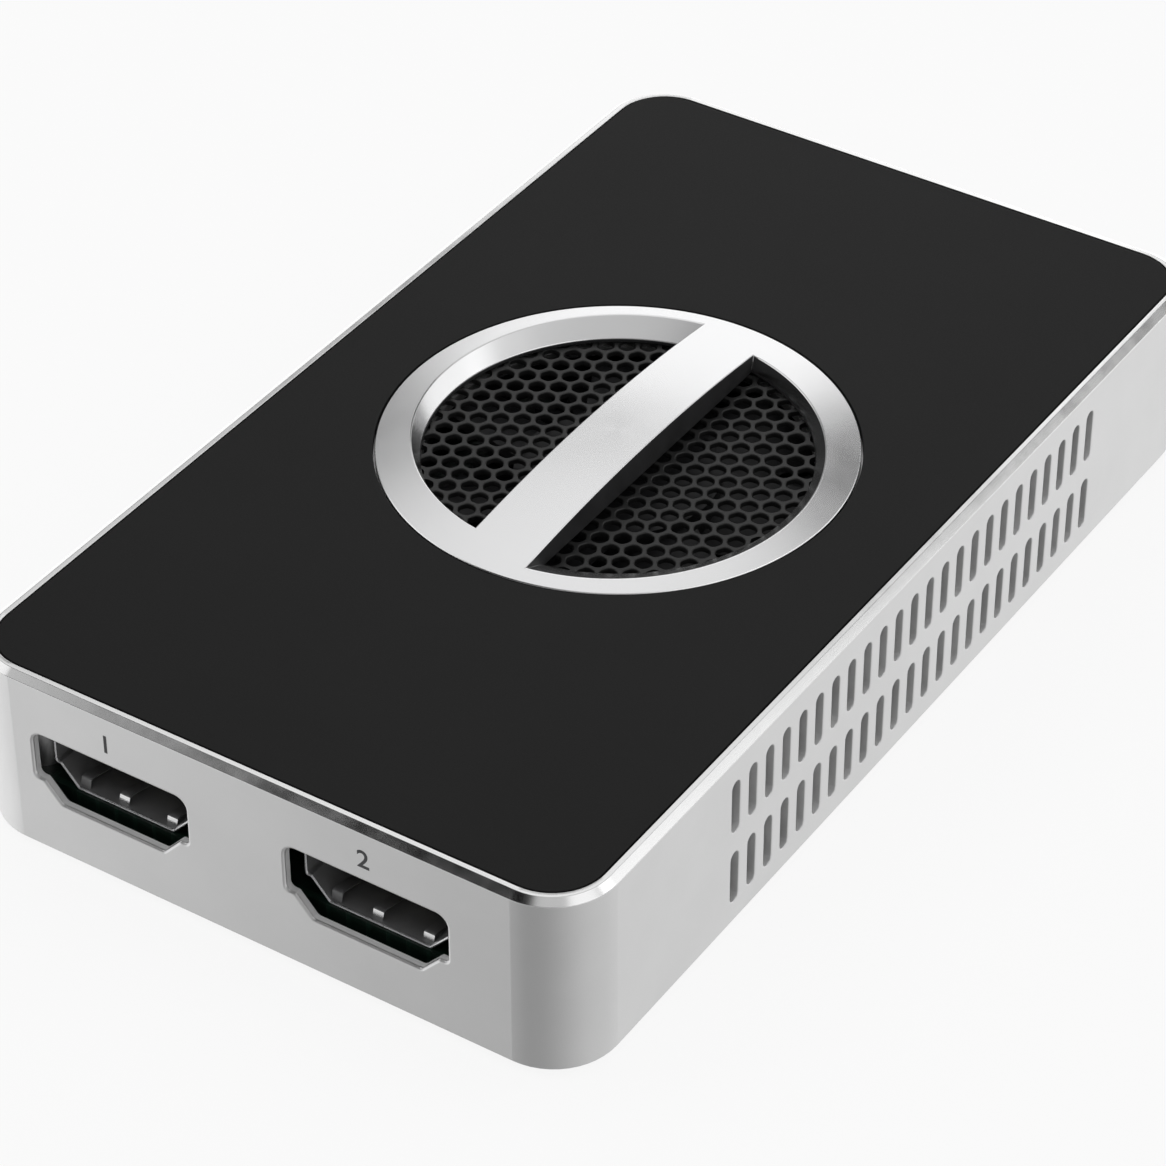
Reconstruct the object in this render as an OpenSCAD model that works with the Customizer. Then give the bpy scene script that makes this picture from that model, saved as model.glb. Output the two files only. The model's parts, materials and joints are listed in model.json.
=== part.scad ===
// Video capture box: an aluminium case with a fan under a round grille, two video sockets at the front,
// a host port and two audio jacks at the rear. X runs left to right, Y front to rear, Z up from the feet.

/* [Case] */
// Width of the case, left to right
body_w = 60.2; // [58:0.2:72]
// Length of the case, front to rear
body_l = 104; // [100:0.5:125]
// Height of the case from its lower edge to its rim
body_h = 17.5; // [17.3:0.1:22]
// Radius of the upright corners
corner_r = 5.9; // [5.4:0.1:7]
// Thickness of the side walls
wall = 1.2; // [1:0.1:1.5]
// Thickness of the deck under the top panel
deck_t = 1.8; // [1.6:0.1:2]
// Width of the bright chamfer along the top edge
chamfer_w = 0.7; // [0.3:0.05:0.9]
// Height of the bright chamfer along the top edge
chamfer_h = 0.45; // [0.2:0.05:0.7]
// Width of the flat rim around the top panel
rim_w = 0.45; // [0.3:0.05:0.8]
// Thickness of the top panel, which lies flush with the rim
panel_t = 0.8; // [0.7:0.05:1]
// Gap between the top panel and what it is set into
panel_gap = 0.15; // [0.1:0.05:0.3]

/* [Vents] */
// Number of slots in each row
vent_count = 24; // [8:1:26]
// Distance from slot to slot
vent_pitch = 2.56; // [2:0.02:2.7]
// Width of a slot
vent_w = 1.2; // [0.8:0.05:1.5]
// Length of a slot, ends included
vent_h = 5.2; // [3:0.1:6]
// Depth of the upper row's middle below the rim
vent_drop = 5.3; // [5:0.1:6]
// Distance between the two rows
vent_row_gap = 7.4; // [6.6:0.1:7.8]

/* [Grille] */
// Distance of the grille and fan behind the middle of the case
fan_y = 0.5; // [-3:0.5:3]
// Outer radius of the trim ring
ring_r = 20.8; // [20.4:0.1:21.5]
// Height of the ring's domed crown above the rim
ring_rise = 1.45; // [0.8:0.05:2.5]
// Width of the bar across the ring
bar_w = 6.4; // [4:0.1:8]
// Radius of the open mouth at the mesh
mouth_r = 16.9; // [15:0.1:17.1]
// Radius of the slanted bevel where it leaves the dome
bevel_r = 18.3; // [17.8:0.1:18.6]
// Sideways shift of the bevel's upper edge
bevel_shift = 1.15; // [0:0.05:1.3]
// Upright part of the mouth under the bevel
mouth_land = 0.4; // [0.2:0.05:0.8]
// Depth of the mesh below the rim
mesh_drop = 1.3; // [1.1:0.05:1.5]
// Thickness of the mesh
mesh_t = 0.5; // [0.4:0.05:0.7]
// Width of the ledge that carries the mesh
ledge_w = 1.2; // [0.8:0.1:1.4]
// Distance from hexagon to hexagon
hex_pitch = 1.9; // [1.7:0.05:3]
// Width of the web between two hexagons
hex_web = 0.45; // [0.35:0.05:0.7]

/* [Front sockets] */
// Distance of the input socket's middle from the left side
in_inset = 15.6; // [15:0.1:18]
// Distance of the loop socket's middle from the right side
loop_inset = 19.5; // [16:0.1:20]
// Depth of the socket's middle below the rim
port_drop = 8.65; // [8.5:0.05:8.9]
// Width of the cut-out
port_w = 15.5; // [14.8:0.1:16]
// Height of the cut-out
port_h = 6.6; // [6.2:0.1:7]
// Height of the cut-out's upright sides
port_side = 4.7; // [4.2:0.1:5]
// Step inward under the upright sides
port_step = 0.9; // [0.6:0.05:1.2]
// Width of the cut-out's floor
port_floor = 10.3; // [9:0.1:11]
// Gap between the cut-out and the socket's shell
port_gap = 0.55; // [0.4:0.05:0.7]
// Distance of the socket's lip behind the front face
port_lip = 1.75; // [1.6:0.05:2.2]
// Length of the socket
port_l = 11.5; // [10:0.5:13]
// Sheet thickness of the socket's shell
shell_t = 0.3; // [0.2:0.05:0.4]
// Distance of the tongue's tip behind the lip
tongue_in = 2.5; // [2.3:0.1:3]
// Width of the tongue
tongue_w = 11; // [10:0.1:11.5]
// Thickness of the tongue
tongue_t = 1.2; // [0.8:0.1:1.6]

/* [Rear sockets] */
// Distance of the host port's middle from the right side
host_inset = 17.1; // [16:0.1:19]
// Width of the host port's shell
host_w = 12; // [11:0.1:13]
// Height of the host port's shell
host_h = 12.4; // [11.8:0.1:12.6]
// Length of the host port
host_l = 16; // [14:0.5:18]
// Gap between the host port and the cut-outs around it
host_gap = 0.25; // [0.15:0.05:0.4]
// Distance of the outer audio jack's middle from the left side
audio_inset = 11.6; // [11.2:0.1:13]
// Distance between the two audio jacks
audio_pitch = 10.5; // [9:0.1:12]
// Radius of a jack's bore
jack_r = 1.8; // [1.75:0.05:1.9]
// Depth of a jack's bore
jack_bore = 11; // [9:0.5:13]
// Width of a jack's body
jack_w = 6.4; // [5.4:0.1:7]
// Height of a jack's body
jack_h = 5.4; // [5:0.1:6]
// Radius of the hole in the case in front of a jack
jack_hole_r = 3.3; // [2.8:0.1:3.6]

/* [Board and base] */
// Thickness of the main board
board_t = 1.6; // [1.2:0.1:2]
// Gap between the main board and the walls
board_gap = 0.4; // [0.25:0.05:0.8]
// Thickness of the bottom cover
cover_t = 1.2; // [1:0.1:1.5]
// Gap between the bottom cover and the walls
cover_gap = 0.15; // [0.1:0.05:0.25]
// Distance of the screws from the case's sides
screw_inset = 4.7; // [4.5:0.1:5.5]
// Radius of the case's screw bosses
boss_r = 2.8; // [2.4:0.1:2.9]
// Thread radius of the cover screws and of the standoffs' studs
thread_r = 1; // [0.8:0.05:1.1]
// Width of a standoff across its flats
standoff_af = 4.5; // [4:0.1:4.8]
// Radius of a rubber foot
foot_r = 4.5; // [3:0.1:6]
// Height of a rubber foot below the case
foot_proud = 0.8; // [0.5:0.1:2]
// Depth of a foot's recess in the cover
foot_recess = 0.4; // [0.2:0.05:0.6]
// Distance of a foot from the case's sides
foot_inset = 13; // [12:0.5:16]

/* [Fan] */
// Width of the square fan frame
fan_w = 40; // [39.6:0.1:42]
// Thickness of the fan frame
fan_t = 5; // [4.8:0.1:5.2]
// Distance of a fan screw from the frame's sides
fan_hole_inset = 4; // [3.4:0.1:4.4]
// Least thickness of the frame beside its round duct
duct_wall = 0.9; // [0.7:0.1:2]
// Gap between the blade tips and the duct
tip_gap = 0.5; // [0.4:0.05:1]
// Outer radius of the rotor's hub
hub_r = 9; // [8.5:0.1:10]
// Number of blades
blade_count = 7; // [5:1:11]
// Width of a blade along its chord
blade_chord = 8.4; // [6:0.1:8.6]
// Thickness of a blade
blade_t = 0.6; // [0.4:0.05:0.8]
// Lean of a blade against the fan's plane
blade_lean = 20; // [14:1:20]
// Radius of a blade's hollow
blade_bow = 12; // [10:1:40]
// Radius of the fan's shaft
shaft_r = 0.75; // [0.6:0.05:0.9]
// Running clearance of the shaft in its bearing
shaft_clear = 0.02; // [0.01:0.005:0.05]

/* [Chips] */
// Width of the square processor
cpu_w = 15; // [12:1:19]
// Thickness of the processor
cpu_t = 0.9; // [0.7:0.05:1.1]
// Thickness of the thermal pad
pad_t = 0.3; // [0.2:0.05:0.5]
// Width of the square heat sink
sink_w = 30; // [26:1:32]
// Thickness of the heat sink's base
sink_base = 0.8; // [0.6:0.1:1]
// Gap between the heat sink's fins and the fan
sink_gap = 0.4; // [0.3:0.05:0.6]
// Distance from fin to fin
fin_pitch = 2.5; // [1.8:0.1:4]
// Thickness of a fin
fin_t = 0.8; // [0.5:0.05:1.2]
// Thickness of the small chips
chip_t = 0.9; // [0.6:0.05:1.1]
// Gap between a chip and its neighbour
chip_gap = 1; // [0.5:0.1:1.5]
// Width of a memory chip
memory_w = 7.5; // [6:0.1:8]
// Length of a memory chip
memory_l = 11; // [9:0.5:14]
// Width of the square video and host chips
port_chip_w = 8; // [6:0.5:9]
// Width of the square audio chip and of the flash chip
small_chip_w = 5; // [4:0.1:6]
// Width of the square power inductors
coil_can_w = 4; // [3:0.1:4.4]
// Height of the power inductors
coil_can_h = 2; // [1.2:0.1:2.5]
// Radius of a power capacitor
can_r = 2; // [1.5:0.1:2.4]
// Height of a power capacitor
can_h = 4.4; // [3:0.1:6]

/* [Hidden] */
$fn = 64;
// Slack that carries a cut past the face it opens
cut = 1;
// Clearance of a screw, stud or pressed piece in its hole
fit = 0.03;
// Heights, from the floor up
case_z = foot_proud;
rim_z = case_z + body_h;
deck_z = rim_z - panel_t;
under_z = deck_z - deck_t;
mesh_z = rim_z - mesh_drop;
port_z = rim_z - port_drop;
board_z = port_z - port_h / 2 + port_gap;
cover_z = case_z + cover_t;
fan_z = under_z - fan_t;
jack_z = board_z + jack_h / 2;
host_z = (cover_z + under_z) / 2;
// Faces and inner outline of the case
front_y = -body_l / 2;
rear_y = body_l / 2;
rear_in_y = rear_y - wall;
room_w = body_w - 2 * wall;
room_l = body_l - 2 * wall;
room_r = corner_r - wall;
recess_in = chamfer_w + rim_w;
boss_x = body_w / 2 - screw_inset;
boss_y = body_l / 2 - screw_inset;
rib_t = 1.6;
rib_l = screw_inset - wall / 2;
stud_l = 3;
screw_head_r = 1.9;
screw_head_h = 0.9;
screw_l = 3.2;
screw_gap = 0.2;
drive_r = 0.9;
// Trim ring and its seat
dome_r = (pow(ring_r, 2) + pow(ring_rise, 2)) / (2 * ring_rise);
spigot_gap = 0.1;
seat_r = mouth_r + ledge_w + spigot_gap;
bevel_z = mesh_z + mouth_land;
bevel_top_z = rim_z + ring_rise * (1 - pow(bevel_r / ring_r, 2));
hex_r = (hex_pitch - hex_web) / sqrt(3);
hex_column = hex_pitch * sin(60);
hex_reach = seat_r - spigot_gap - hex_web - hex_r;
hex_columns = floor(hex_reach / hex_column);
hex_rows = ceil(hex_reach / hex_pitch);
// Front sockets
in_x = in_inset - body_w / 2;
loop_x = body_w / 2 - loop_inset;
port_r = 1.1;
lip_y = front_y + port_lip;
tongue_y = lip_y + tongue_in;
socket_back_y = lip_y + port_l;
socket_block_l = 3.5;
tongue_lift = 0.3;
port_lean = atan2(port_h - port_side, (port_w - port_floor) / 2 - port_step);
contact_t = 0.1;
contact_w = 0.4;
contact_pitch = 1;
spring_w = 1;
spring_l = 1.2;
spring_h = 0.15;
spring_in = 1.4;
spring_pitch = 4.3;
leg_w = 1.4;
leg_t = 0.3;
leg_gap = 0.1;
leg_below = 0.5;
leg_in = 3;
leg_pitch = 5.5;
leg_x = port_w / 2 - port_gap;
// Rear sockets
host_x = body_w / 2 - host_inset;
audio_out_x = audio_inset - body_w / 2;
audio_in_x = audio_out_x + audio_pitch;
rear_set = 0.2;
host_front_y = rear_in_y - rear_set;
host_wall = 0.35;
host_mouth_w = 8.6;
host_mouth_h = 7.4;
host_mouth_cut = 1.6;
host_top_w = 6;
host_top_h = 2.4;
host_depth = 9;
host_tongue_in = 1.4;
host_tongue_w = 5.6;
host_tongue_h = 3.2;
host_mouth_z = host_z - (host_mouth_h + host_top_h) / 2;
host_ear_w = 1.4;
host_ear_l = 7;
host_ear_t = 0.5;
host_contact_l = 6;
jack_wall = 1.5;
jack_back_y = rear_y - rear_set - jack_bore - jack_wall;
nose_gap = 0.4;
terminal_w = 0.8;
terminal_t = 0.25;
// Fan inner parts, as heights above the fan's lower face
duct_r = fan_w / 2 - duct_wall;
fan_holes = fan_w - 2 * fan_hole_inset;
fan_corner = 3;
fan_base_t = 0.8;
strut_w = 1.8;
hub_gap = 0.3;
hub_floor = fan_base_t + hub_gap;
hub_top = fan_t - hub_gap;
hub_wall = 0.8;
hub_cap = 0.7;
magnet_t = 0.9;
rotor_gap = 0.5;
magnet_r = hub_r - hub_wall - fit;
stator_r = magnet_r - magnet_t - rotor_gap;
circuit_t = 0.3;
stator_z = fan_base_t + circuit_t;
stator_h = 1.9;
tube_h = stator_z + stator_h + hub_gap / 2;
bearing_wall = 0.6;
bearing_r = shaft_r + shaft_clear + bearing_wall;
tube_wall = 0.6;
tube_r = bearing_r + fit + tube_wall;
thrust_t = 0.4;
pole_count = 4;
pole_w = 1.4;
shoe_t = 0.7;
coil_t = 0.7;
coil_gap = 0.1;
blade_z = (hub_floor + hub_top) / 2;
fan_screw_in = 1.3;
fan_screw_l = fan_t + fan_screw_in;
fan_screw_head_r = 1.9;
fan_screw_head_h = 1;
// Fan plug and lead
lead_pitch = 1.3;
lead_r = 0.4;
lead_bend = 1;
lead_out = 3.6;
lead_along = 8;
lead_up = 1.2;
lead_y = fan_y + lead_along;
lead_z = fan_z + lead_up;
plug_x = fan_w / 2 + lead_out;
header_w = 3.4;
header_l = 5.6;
header_h = 1.9;
plug_w = 2.6;
plug_l = 4.8;
plug_h = 1.2;

// Points of the arc of radius r that rounds corner b between a and c
function unit(v) = v / norm(v);
function turn(a) = a > 180 ? a - 360 : a < -180 ? a + 360 : a;
function angle_of(v) = atan2(v[1], v[0]);
function arc(centre, r, from, sweep, steps) =
    [for (i = [0 : steps]) centre + r * [cos(from + sweep * i / steps), sin(from + sweep * i / steps)]];
function round_corner(a, b, c, r, steps = 6) =
    let (u = unit(a - b), v = unit(c - b), half = acos(u * v) / 2)
    let (centre = b + unit(u + v) * r / sin(half))
    let (from = angle_of(b + u * r / tan(half) - centre), to = angle_of(b + v * r / tan(half) - centre))
    arc(centre, r, from, turn(to - from), steps);
function flat(p) = [p[0], p[1]];
function round_outline(pts) =
    let (n = len(pts))
    [for (i = [0 : n - 1])
        each round_corner(flat(pts[(i + n - 1) % n]), flat(pts[i]), flat(pts[(i + 1) % n]), pts[i][2])];

// Right half of the video socket's outline, a distance d inside the cut-out, as x, y and corner radius
function port_half(d) =
    let (shift = d * tan(port_lean / 2), r = max(port_r - d, 0.35), step_y = port_h / 2 - port_side + d)
    let (side = port_w / 2 - d, top = port_h / 2 - d)
    [[side, top, r], [side, step_y, r / 2], [port_w / 2 - port_step - shift, step_y, r / 4],
        [port_floor / 2 - shift, -top, r / 2]];
function mirrored(half) =
    concat(half, [for (i = [len(half) - 1 : -1 : 0]) [-half[i][0], half[i][1], half[i][2]]]);

module round_rect(w, l, r) {
    square([w - 2 * r, l], center = true);
    square([w, l - 2 * r], center = true);
    for (x = [-1, 1], y = [-1, 1])
        translate([x * (w / 2 - r), y * (l / 2 - r)])
            circle(r);
}

module slab(w, l, h, r, z) {
    translate([0, 0, z])
        linear_extrude(h)
            round_rect(w, l, r);
}

module block(w, l, h, at) {
    translate([at[0] - w / 2, at[1] - l / 2, at[2]])
        cube([w, l, h]);
}

module at_corners(x, y) {
    for (i = [-1, 1], j = [-1, 1])
        translate([i * x, j * y, 0])
            children();
}

// An outline in X and Z, drawn rearward from y for a length
module along_y(x, y, z, length) {
    translate([x, y + length, z])
        rotate([90, 0, 0])
            linear_extrude(length)
                children();
}

module port_shape(d) {
    polygon(round_outline(mirrored(port_half(d))));
}

// Section of the chamfered top edge, carried down into the walls by the slack of a cut
module wedge_side(half) {
    top = half - chamfer_w;
    polygon([[-half, -cut], [half, -cut], [half, 0], [top, chamfer_h], [-top, chamfer_h], [-half, 0]]);
}

// The chamfered top edge: a cone at each corner, with two wedge-sided prisms between them

module chamfer_band() {
    translate([0, 0, rim_z - chamfer_h]) {
        at_corners(body_w / 2 - corner_r, body_l / 2 - corner_r) {
            cylinder(r1 = corner_r, r2 = corner_r - chamfer_w, h = chamfer_h);
            translate([0, 0, -cut])
                cylinder(r = corner_r, h = cut);
        }
        translate([0, body_l / 2 - corner_r, 0])
            rotate([90, 0, 0])
                linear_extrude(body_l - 2 * corner_r)
                    wedge_side(body_w / 2);
        translate([-body_w / 2 + corner_r, 0, 0])
            rotate([90, 0, 90])
                linear_extrude(body_w - 2 * corner_r)
                    wedge_side(body_l / 2);
    }
}

module vent_slots() {
    for (row = [0, 1], i = [0 : vent_count - 1])
        translate([-body_w / 2 - cut, fan_y + (i - (vent_count - 1) / 2) * vent_pitch,
            rim_z - vent_drop - row * vent_row_gap])
            rotate([90, 0, 90])
                linear_extrude(body_w + 2 * cut) {
                    square([vent_w, vent_h - vent_w], center = true);
                    for (end = [-1, 1])
                        translate([0, end * (vent_h - vent_w) / 2])
                            circle(vent_w / 2);
                }
}

// The screw bosses under the deck, each with a rib to both of its walls
module case_bosses() {
    height = under_z - board_z + deck_t / 2;
    at_corners(boss_x, boss_y)
        translate([0, 0, board_z])
            cylinder(r = boss_r, h = height);
    for (i = [-1, 1], j = [-1, 1]) {
        block(rib_l, rib_t, height, [i * (boss_x + rib_l / 2), j * boss_y, board_z]);
        block(rib_t, rib_l, height, [i * boss_x, j * (boss_y + rib_l / 2), board_z]);
    }
}

module housing() {
    color("silver")
    difference() {
        union() {
            difference() {
                union() {
                    slab(body_w, body_l, body_h - chamfer_h, corner_r, case_z);
                    chamfer_band();
                }
                slab(room_w, room_l, under_z - case_z + cut, room_r, case_z - cut);
            }
            case_bosses();
        }
        slab(body_w - 2 * recess_in, body_l - 2 * recess_in, panel_t + cut, corner_r - recess_in, deck_z);
        vent_slots();
        translate([0, fan_y, 0]) {
            translate([0, 0, under_z - cut])
                cylinder(r = mouth_r, h = deck_t + 2 * cut);
            translate([0, 0, mesh_z - mesh_t])
                cylinder(r = seat_r, h = deck_t + cut);
            at_corners(fan_holes / 2, fan_holes / 2)
                translate([0, 0, under_z - cut])
                    cylinder(r = thread_r + fit, h = fan_screw_in + cut + fit);
        }
        at_corners(boss_x, boss_y)
            translate([0, 0, board_z - cut])
                cylinder(r = thread_r + fit, h = stud_l + cut + fit);
        for (x = [in_x, loop_x])
            along_y(x, front_y - cut, port_z, wall + 2 * cut)
                port_shape(0);
        block(host_w + 2 * host_gap, wall + 2 * cut, host_h + 2 * host_gap,
            [host_x, rear_y - wall / 2, host_z - host_h / 2 - host_gap]);
        for (x = [audio_in_x, audio_out_x])
            translate([x, rear_y + cut, jack_z])
                rotate([90, 0, 0])
                    cylinder(r = jack_hole_r, h = wall + 2 * cut);
    }
}

module top_panel() {
    inset = recess_in + panel_gap;
    color([0.16, 0.16, 0.16])
    difference() {
        slab(body_w - 2 * inset, body_l - 2 * inset, panel_t, corner_r - inset, deck_z);
        translate([0, fan_y, deck_z - cut])
            cylinder(r = ring_r + panel_gap, h = panel_t + 2 * cut);
    }
}

// One half of the ring's mouth: an upright land with a bevel over it whose upper edge is shifted along Y
module ring_mouth(side) {
    depth = 2 * (bevel_top_z - bevel_z);
    intersection() {
        union() {
            translate([0, 0, mesh_z - cut])
                cylinder(r = mouth_r, h = mouth_land + 2 * cut);
            hull() {
                translate([0, 0, bevel_z])
                    cylinder(r = mouth_r, h = fit);
                translate([0, -side * 2 * bevel_shift, bevel_z + depth])
                    cylinder(r = 2 * bevel_r - mouth_r, h = fit);
            }
        }
        translate([side * (bar_w / 2 + ring_r), 0, mesh_z - 2 * cut])
            block(2 * ring_r, 4 * ring_r, depth + 4 * cut, [0, 0, 0]);
    }
}

module grille_ring() {
    color([0.78, 0.78, 0.79])
    translate([0, fan_y, 0])
        difference() {
            rotate_extrude($fn = 128) {
                intersection() {
                    translate([0, rim_z + ring_rise - dome_r])
                        circle(dome_r, $fn = 1440);
                    translate([0, deck_z])
                        square([ring_r, panel_t + 2 * ring_rise]);
                }
                translate([0, mesh_z])
                    square([seat_r - spigot_gap, deck_z - mesh_z + panel_t / 2]);
            }
            for (side = [-1, 1])
                ring_mouth(side);
        }
}

module grille_mesh() {
    color([0.1, 0.1, 0.1])
    translate([0, fan_y, mesh_z - mesh_t])
        linear_extrude(mesh_t)
            difference() {
                circle(seat_r - spigot_gap);
                for (i = [-hex_columns : hex_columns], j = [-hex_rows : hex_rows]) {
                    at = [i * hex_column, (j + (i % 2 == 0 ? 0 : 0.5)) * hex_pitch];
                    if (norm(at) < hex_reach && abs(at[0]) + hex_r > bar_w / 2)
                        translate(at)
                            circle(hex_r, $fn = 6);
                }
            }
}

module bottom_cover() {
    color([0.62, 0.63, 0.64])
    difference() {
        slab(room_w - 2 * cover_gap, room_l - 2 * cover_gap, cover_t, room_r - cover_gap, case_z);
        at_corners(boss_x, boss_y) {
            translate([0, 0, case_z - cut])
                cylinder(r = thread_r + screw_gap, h = cover_t + 2 * cut);
            translate([0, 0, case_z])
                cylinder(r1 = screw_head_r + fit, r2 = thread_r + fit, h = screw_head_h);
        }
        at_corners(body_w / 2 - foot_inset, body_l / 2 - foot_inset)
            translate([0, 0, case_z - cut])
                cylinder(r = foot_r + cover_gap, h = foot_recess + cut);
    }
}

module rubber_feet() {
    color([0.12, 0.12, 0.12])
    at_corners(body_w / 2 - foot_inset, body_l / 2 - foot_inset)
        cylinder(r = foot_r, h = foot_proud + foot_recess);
}

module cover_screws() {
    color([0.35, 0.35, 0.36])
    at_corners(boss_x, boss_y)
        translate([0, 0, case_z])
            difference() {
                union() {
                    cylinder(r1 = screw_head_r, r2 = thread_r, h = screw_head_h);
                    cylinder(r = thread_r, h = screw_l);
                }
                translate([0, 0, -cut])
                    cylinder(r = drive_r, h = cut + screw_head_h / 2, $fn = 6);
            }
}

module standoffs() {
    color([0.78, 0.65, 0.35])
    at_corners(boss_x, boss_y)
        difference() {
            union() {
                translate([0, 0, cover_z])
                    cylinder(r = standoff_af / sqrt(3), h = board_z - board_t - cover_z, $fn = 6);
                translate([0, 0, board_z - board_t])
                    cylinder(r = thread_r, h = board_t + stud_l);
            }
            translate([0, 0, cover_z - cut])
                cylinder(r = thread_r + fit, h = case_z + screw_l + fit - cover_z + cut);
        }
}

// Places of the legs of a front socket, which pass through slots in the board
module at_legs(x) {
    for (side = [-1, 1], i = [0, 1])
        translate([x + side * (leg_x + leg_t / 2), lip_y + leg_in + i * leg_pitch, board_z - board_t])
            children();
}

module main_board() {
    notch_l = host_l + board_gap;
    color([0.06, 0.3, 0.16])
    difference() {
        slab(room_w - 2 * board_gap, room_l - 2 * board_gap, board_t, room_r - board_gap, board_z - board_t);
        at_corners(boss_x, boss_y)
            translate([0, 0, board_z - board_t - cut])
                cylinder(r = thread_r + 2 * fit, h = board_t + 2 * cut);
        block(host_w + 2 * host_gap, notch_l + cut, board_t + 2 * cut,
            [host_x, host_front_y - notch_l / 2 + cut / 2 + host_gap, board_z - board_t - cut]);
        for (x = [in_x, loop_x])
            at_legs(x)
                block(leg_t + 2 * leg_gap, leg_w + 2 * leg_gap, board_t + 2 * cut, [0, 0, -cut]);
    }
}

module video_shell(x) {
    color([0.72, 0.72, 0.72]) {
        along_y(x, lip_y, port_z, port_l)
            difference() {
                port_shape(port_gap);
                port_shape(port_gap + shell_t);
            }
        at_legs(x)
            block(leg_t + 2 * fit, leg_w, port_z - board_z + board_t + leg_below, [0, 0, -leg_below]);
        for (i = [-1, 0, 1])
            block(spring_w, spring_l, spring_h + shell_t,
                [x + i * spring_pitch, lip_y + spring_in + spring_l / 2, port_z - port_h / 2 + port_gap]);
    }
}

module video_insulator(x) {
    color([0.08, 0.08, 0.08]) {
        along_y(x, socket_back_y - socket_block_l, port_z, socket_block_l)
            port_shape(port_gap + shell_t + fit);
        block(tongue_w, socket_back_y - tongue_y, tongue_t,
            [x, (socket_back_y + tongue_y) / 2, port_z + tongue_lift - tongue_t / 2]);
    }
}

module video_contacts(x) {
    start = tongue_y + contact_w;
    length = socket_back_y - socket_block_l - start;
    color([0.85, 0.7, 0.35]) {
        for (i = [-4.5 : 4.5])
            block(contact_w, length, contact_t,
                [x + i * contact_pitch, start + length / 2, port_z + tongue_lift + tongue_t / 2]);
        for (i = [-4 : 4])
            block(contact_w, length, contact_t,
                [x + i * contact_pitch, start + length / 2, port_z + tongue_lift - tongue_t / 2 - contact_t]);
    }
}

module video_in_shell() { video_shell(in_x); }

module video_in_insulator() { video_insulator(in_x); }

module video_in_contacts() { video_contacts(in_x); }

module video_loop_shell() { video_shell(loop_x); }

module video_loop_insulator() { video_insulator(loop_x); }

module video_loop_contacts() { video_contacts(loop_x); }

module host_port_shell() {
    color([0.7, 0.7, 0.7]) {
        along_y(host_x, host_front_y - host_l, host_z, host_l)
            difference() {
                square([host_w, host_h], center = true);
                square([host_w - 2 * host_wall, host_h - 2 * host_wall], center = true);
            }
        for (side = [-1, 1])
            block(host_ear_w + host_wall, host_ear_l, host_ear_t,
                [host_x + side * (host_w + host_ear_w - host_wall) / 2, host_front_y - host_l / 2, board_z]);
    }
}

// The port's mouth: a tall opening with two slanted upper corners and a narrower one on top of it
module host_mouth() {
    half = host_mouth_w / 2;
    polygon([[-half, 0], [half, 0], [half, host_mouth_h - host_mouth_cut],
        [half - host_mouth_cut, host_mouth_h], [-half + host_mouth_cut, host_mouth_h],
        [-half, host_mouth_h - host_mouth_cut]]);
    translate([-host_top_w / 2, host_mouth_h - cut])
        square([host_top_w, host_top_h + cut]);
}

module host_port_insulator() {
    tongue_l = host_depth - host_tongue_in;
    color([0.1, 0.25, 0.6]) {
        difference() {
            along_y(host_x, host_front_y - host_l, host_z, host_l)
                square([host_w - 2 * host_wall, host_h - 2 * host_wall], center = true);
            along_y(host_x, host_front_y - host_depth, host_mouth_z, host_depth + cut)
                host_mouth();
        }
        block(host_tongue_w, tongue_l, host_tongue_h,
            [host_x, host_front_y - host_depth + tongue_l / 2,
                host_mouth_z + (host_mouth_h - host_tongue_h) / 2]);
    }
}

module host_port_contacts() {
    middle_y = host_front_y - host_depth + host_contact_l / 2;
    tongue_low = host_mouth_z + (host_mouth_h - host_tongue_h) / 2;
    color([0.85, 0.7, 0.35]) {
        for (i = [-1, 1]) {
            block(contact_w, host_contact_l, contact_t,
                [host_x + i * contact_pitch, middle_y, tongue_low + host_tongue_h]);
            block(contact_w, host_contact_l, contact_t,
                [host_x + i * contact_pitch, middle_y, tongue_low - contact_t]);
        }
        for (i = [-2 : 2])
            block(contact_w, host_contact_l, contact_t,
                [host_x + i * contact_pitch, middle_y, host_mouth_z + host_mouth_h + host_top_h - contact_t]);
    }
}

// A jack: a block on the board with a round nose that reaches out through the case
module audio_jack(x) {
    nose_y = rear_y - rear_set;
    length = rear_in_y - rear_set - jack_back_y;
    color([0.1, 0.1, 0.1])
    difference() {
        union() {
            block(jack_w, length, jack_h, [x, jack_back_y + length / 2, board_z]);
            translate([x, nose_y, jack_z])
                rotate([90, 0, 0])
                    cylinder(r = jack_hole_r - nose_gap, h = wall + cut);
        }
        translate([x, nose_y + cut, jack_z])
            rotate([90, 0, 0])
                cylinder(r = jack_r, h = jack_bore + cut);
        block(jack_w, jack_w, cut, [x, jack_back_y + length - jack_w / 2, board_z - cut]);
    }
}

module audio_in_jack() { audio_jack(audio_in_x); }

module audio_out_jack() { audio_jack(audio_out_x); }

module audio_terminals() {
    color([0.75, 0.75, 0.75])
    for (x = [audio_in_x, audio_out_x], side = [-1, 1], i = [1 : 3])
        block(terminal_w, terminal_w, terminal_t,
            [x + side * (jack_w + terminal_w) / 2, rear_in_y - rear_set - i * jack_bore / 4, board_z]);
}

// A chip body of w by l by h on the board
module chip(w, l, h, x, y) {
    block(w, l, h, [x, y, board_z]);
}

module processor() {
    color([0.13, 0.13, 0.14])
    chip(cpu_w, cpu_w, cpu_t, 0, fan_y);
}

module thermal_pad() {
    color([0.55, 0.6, 0.65])
    block(cpu_w, cpu_w, pad_t, [0, fan_y, board_z + cpu_t]);
}

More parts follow.
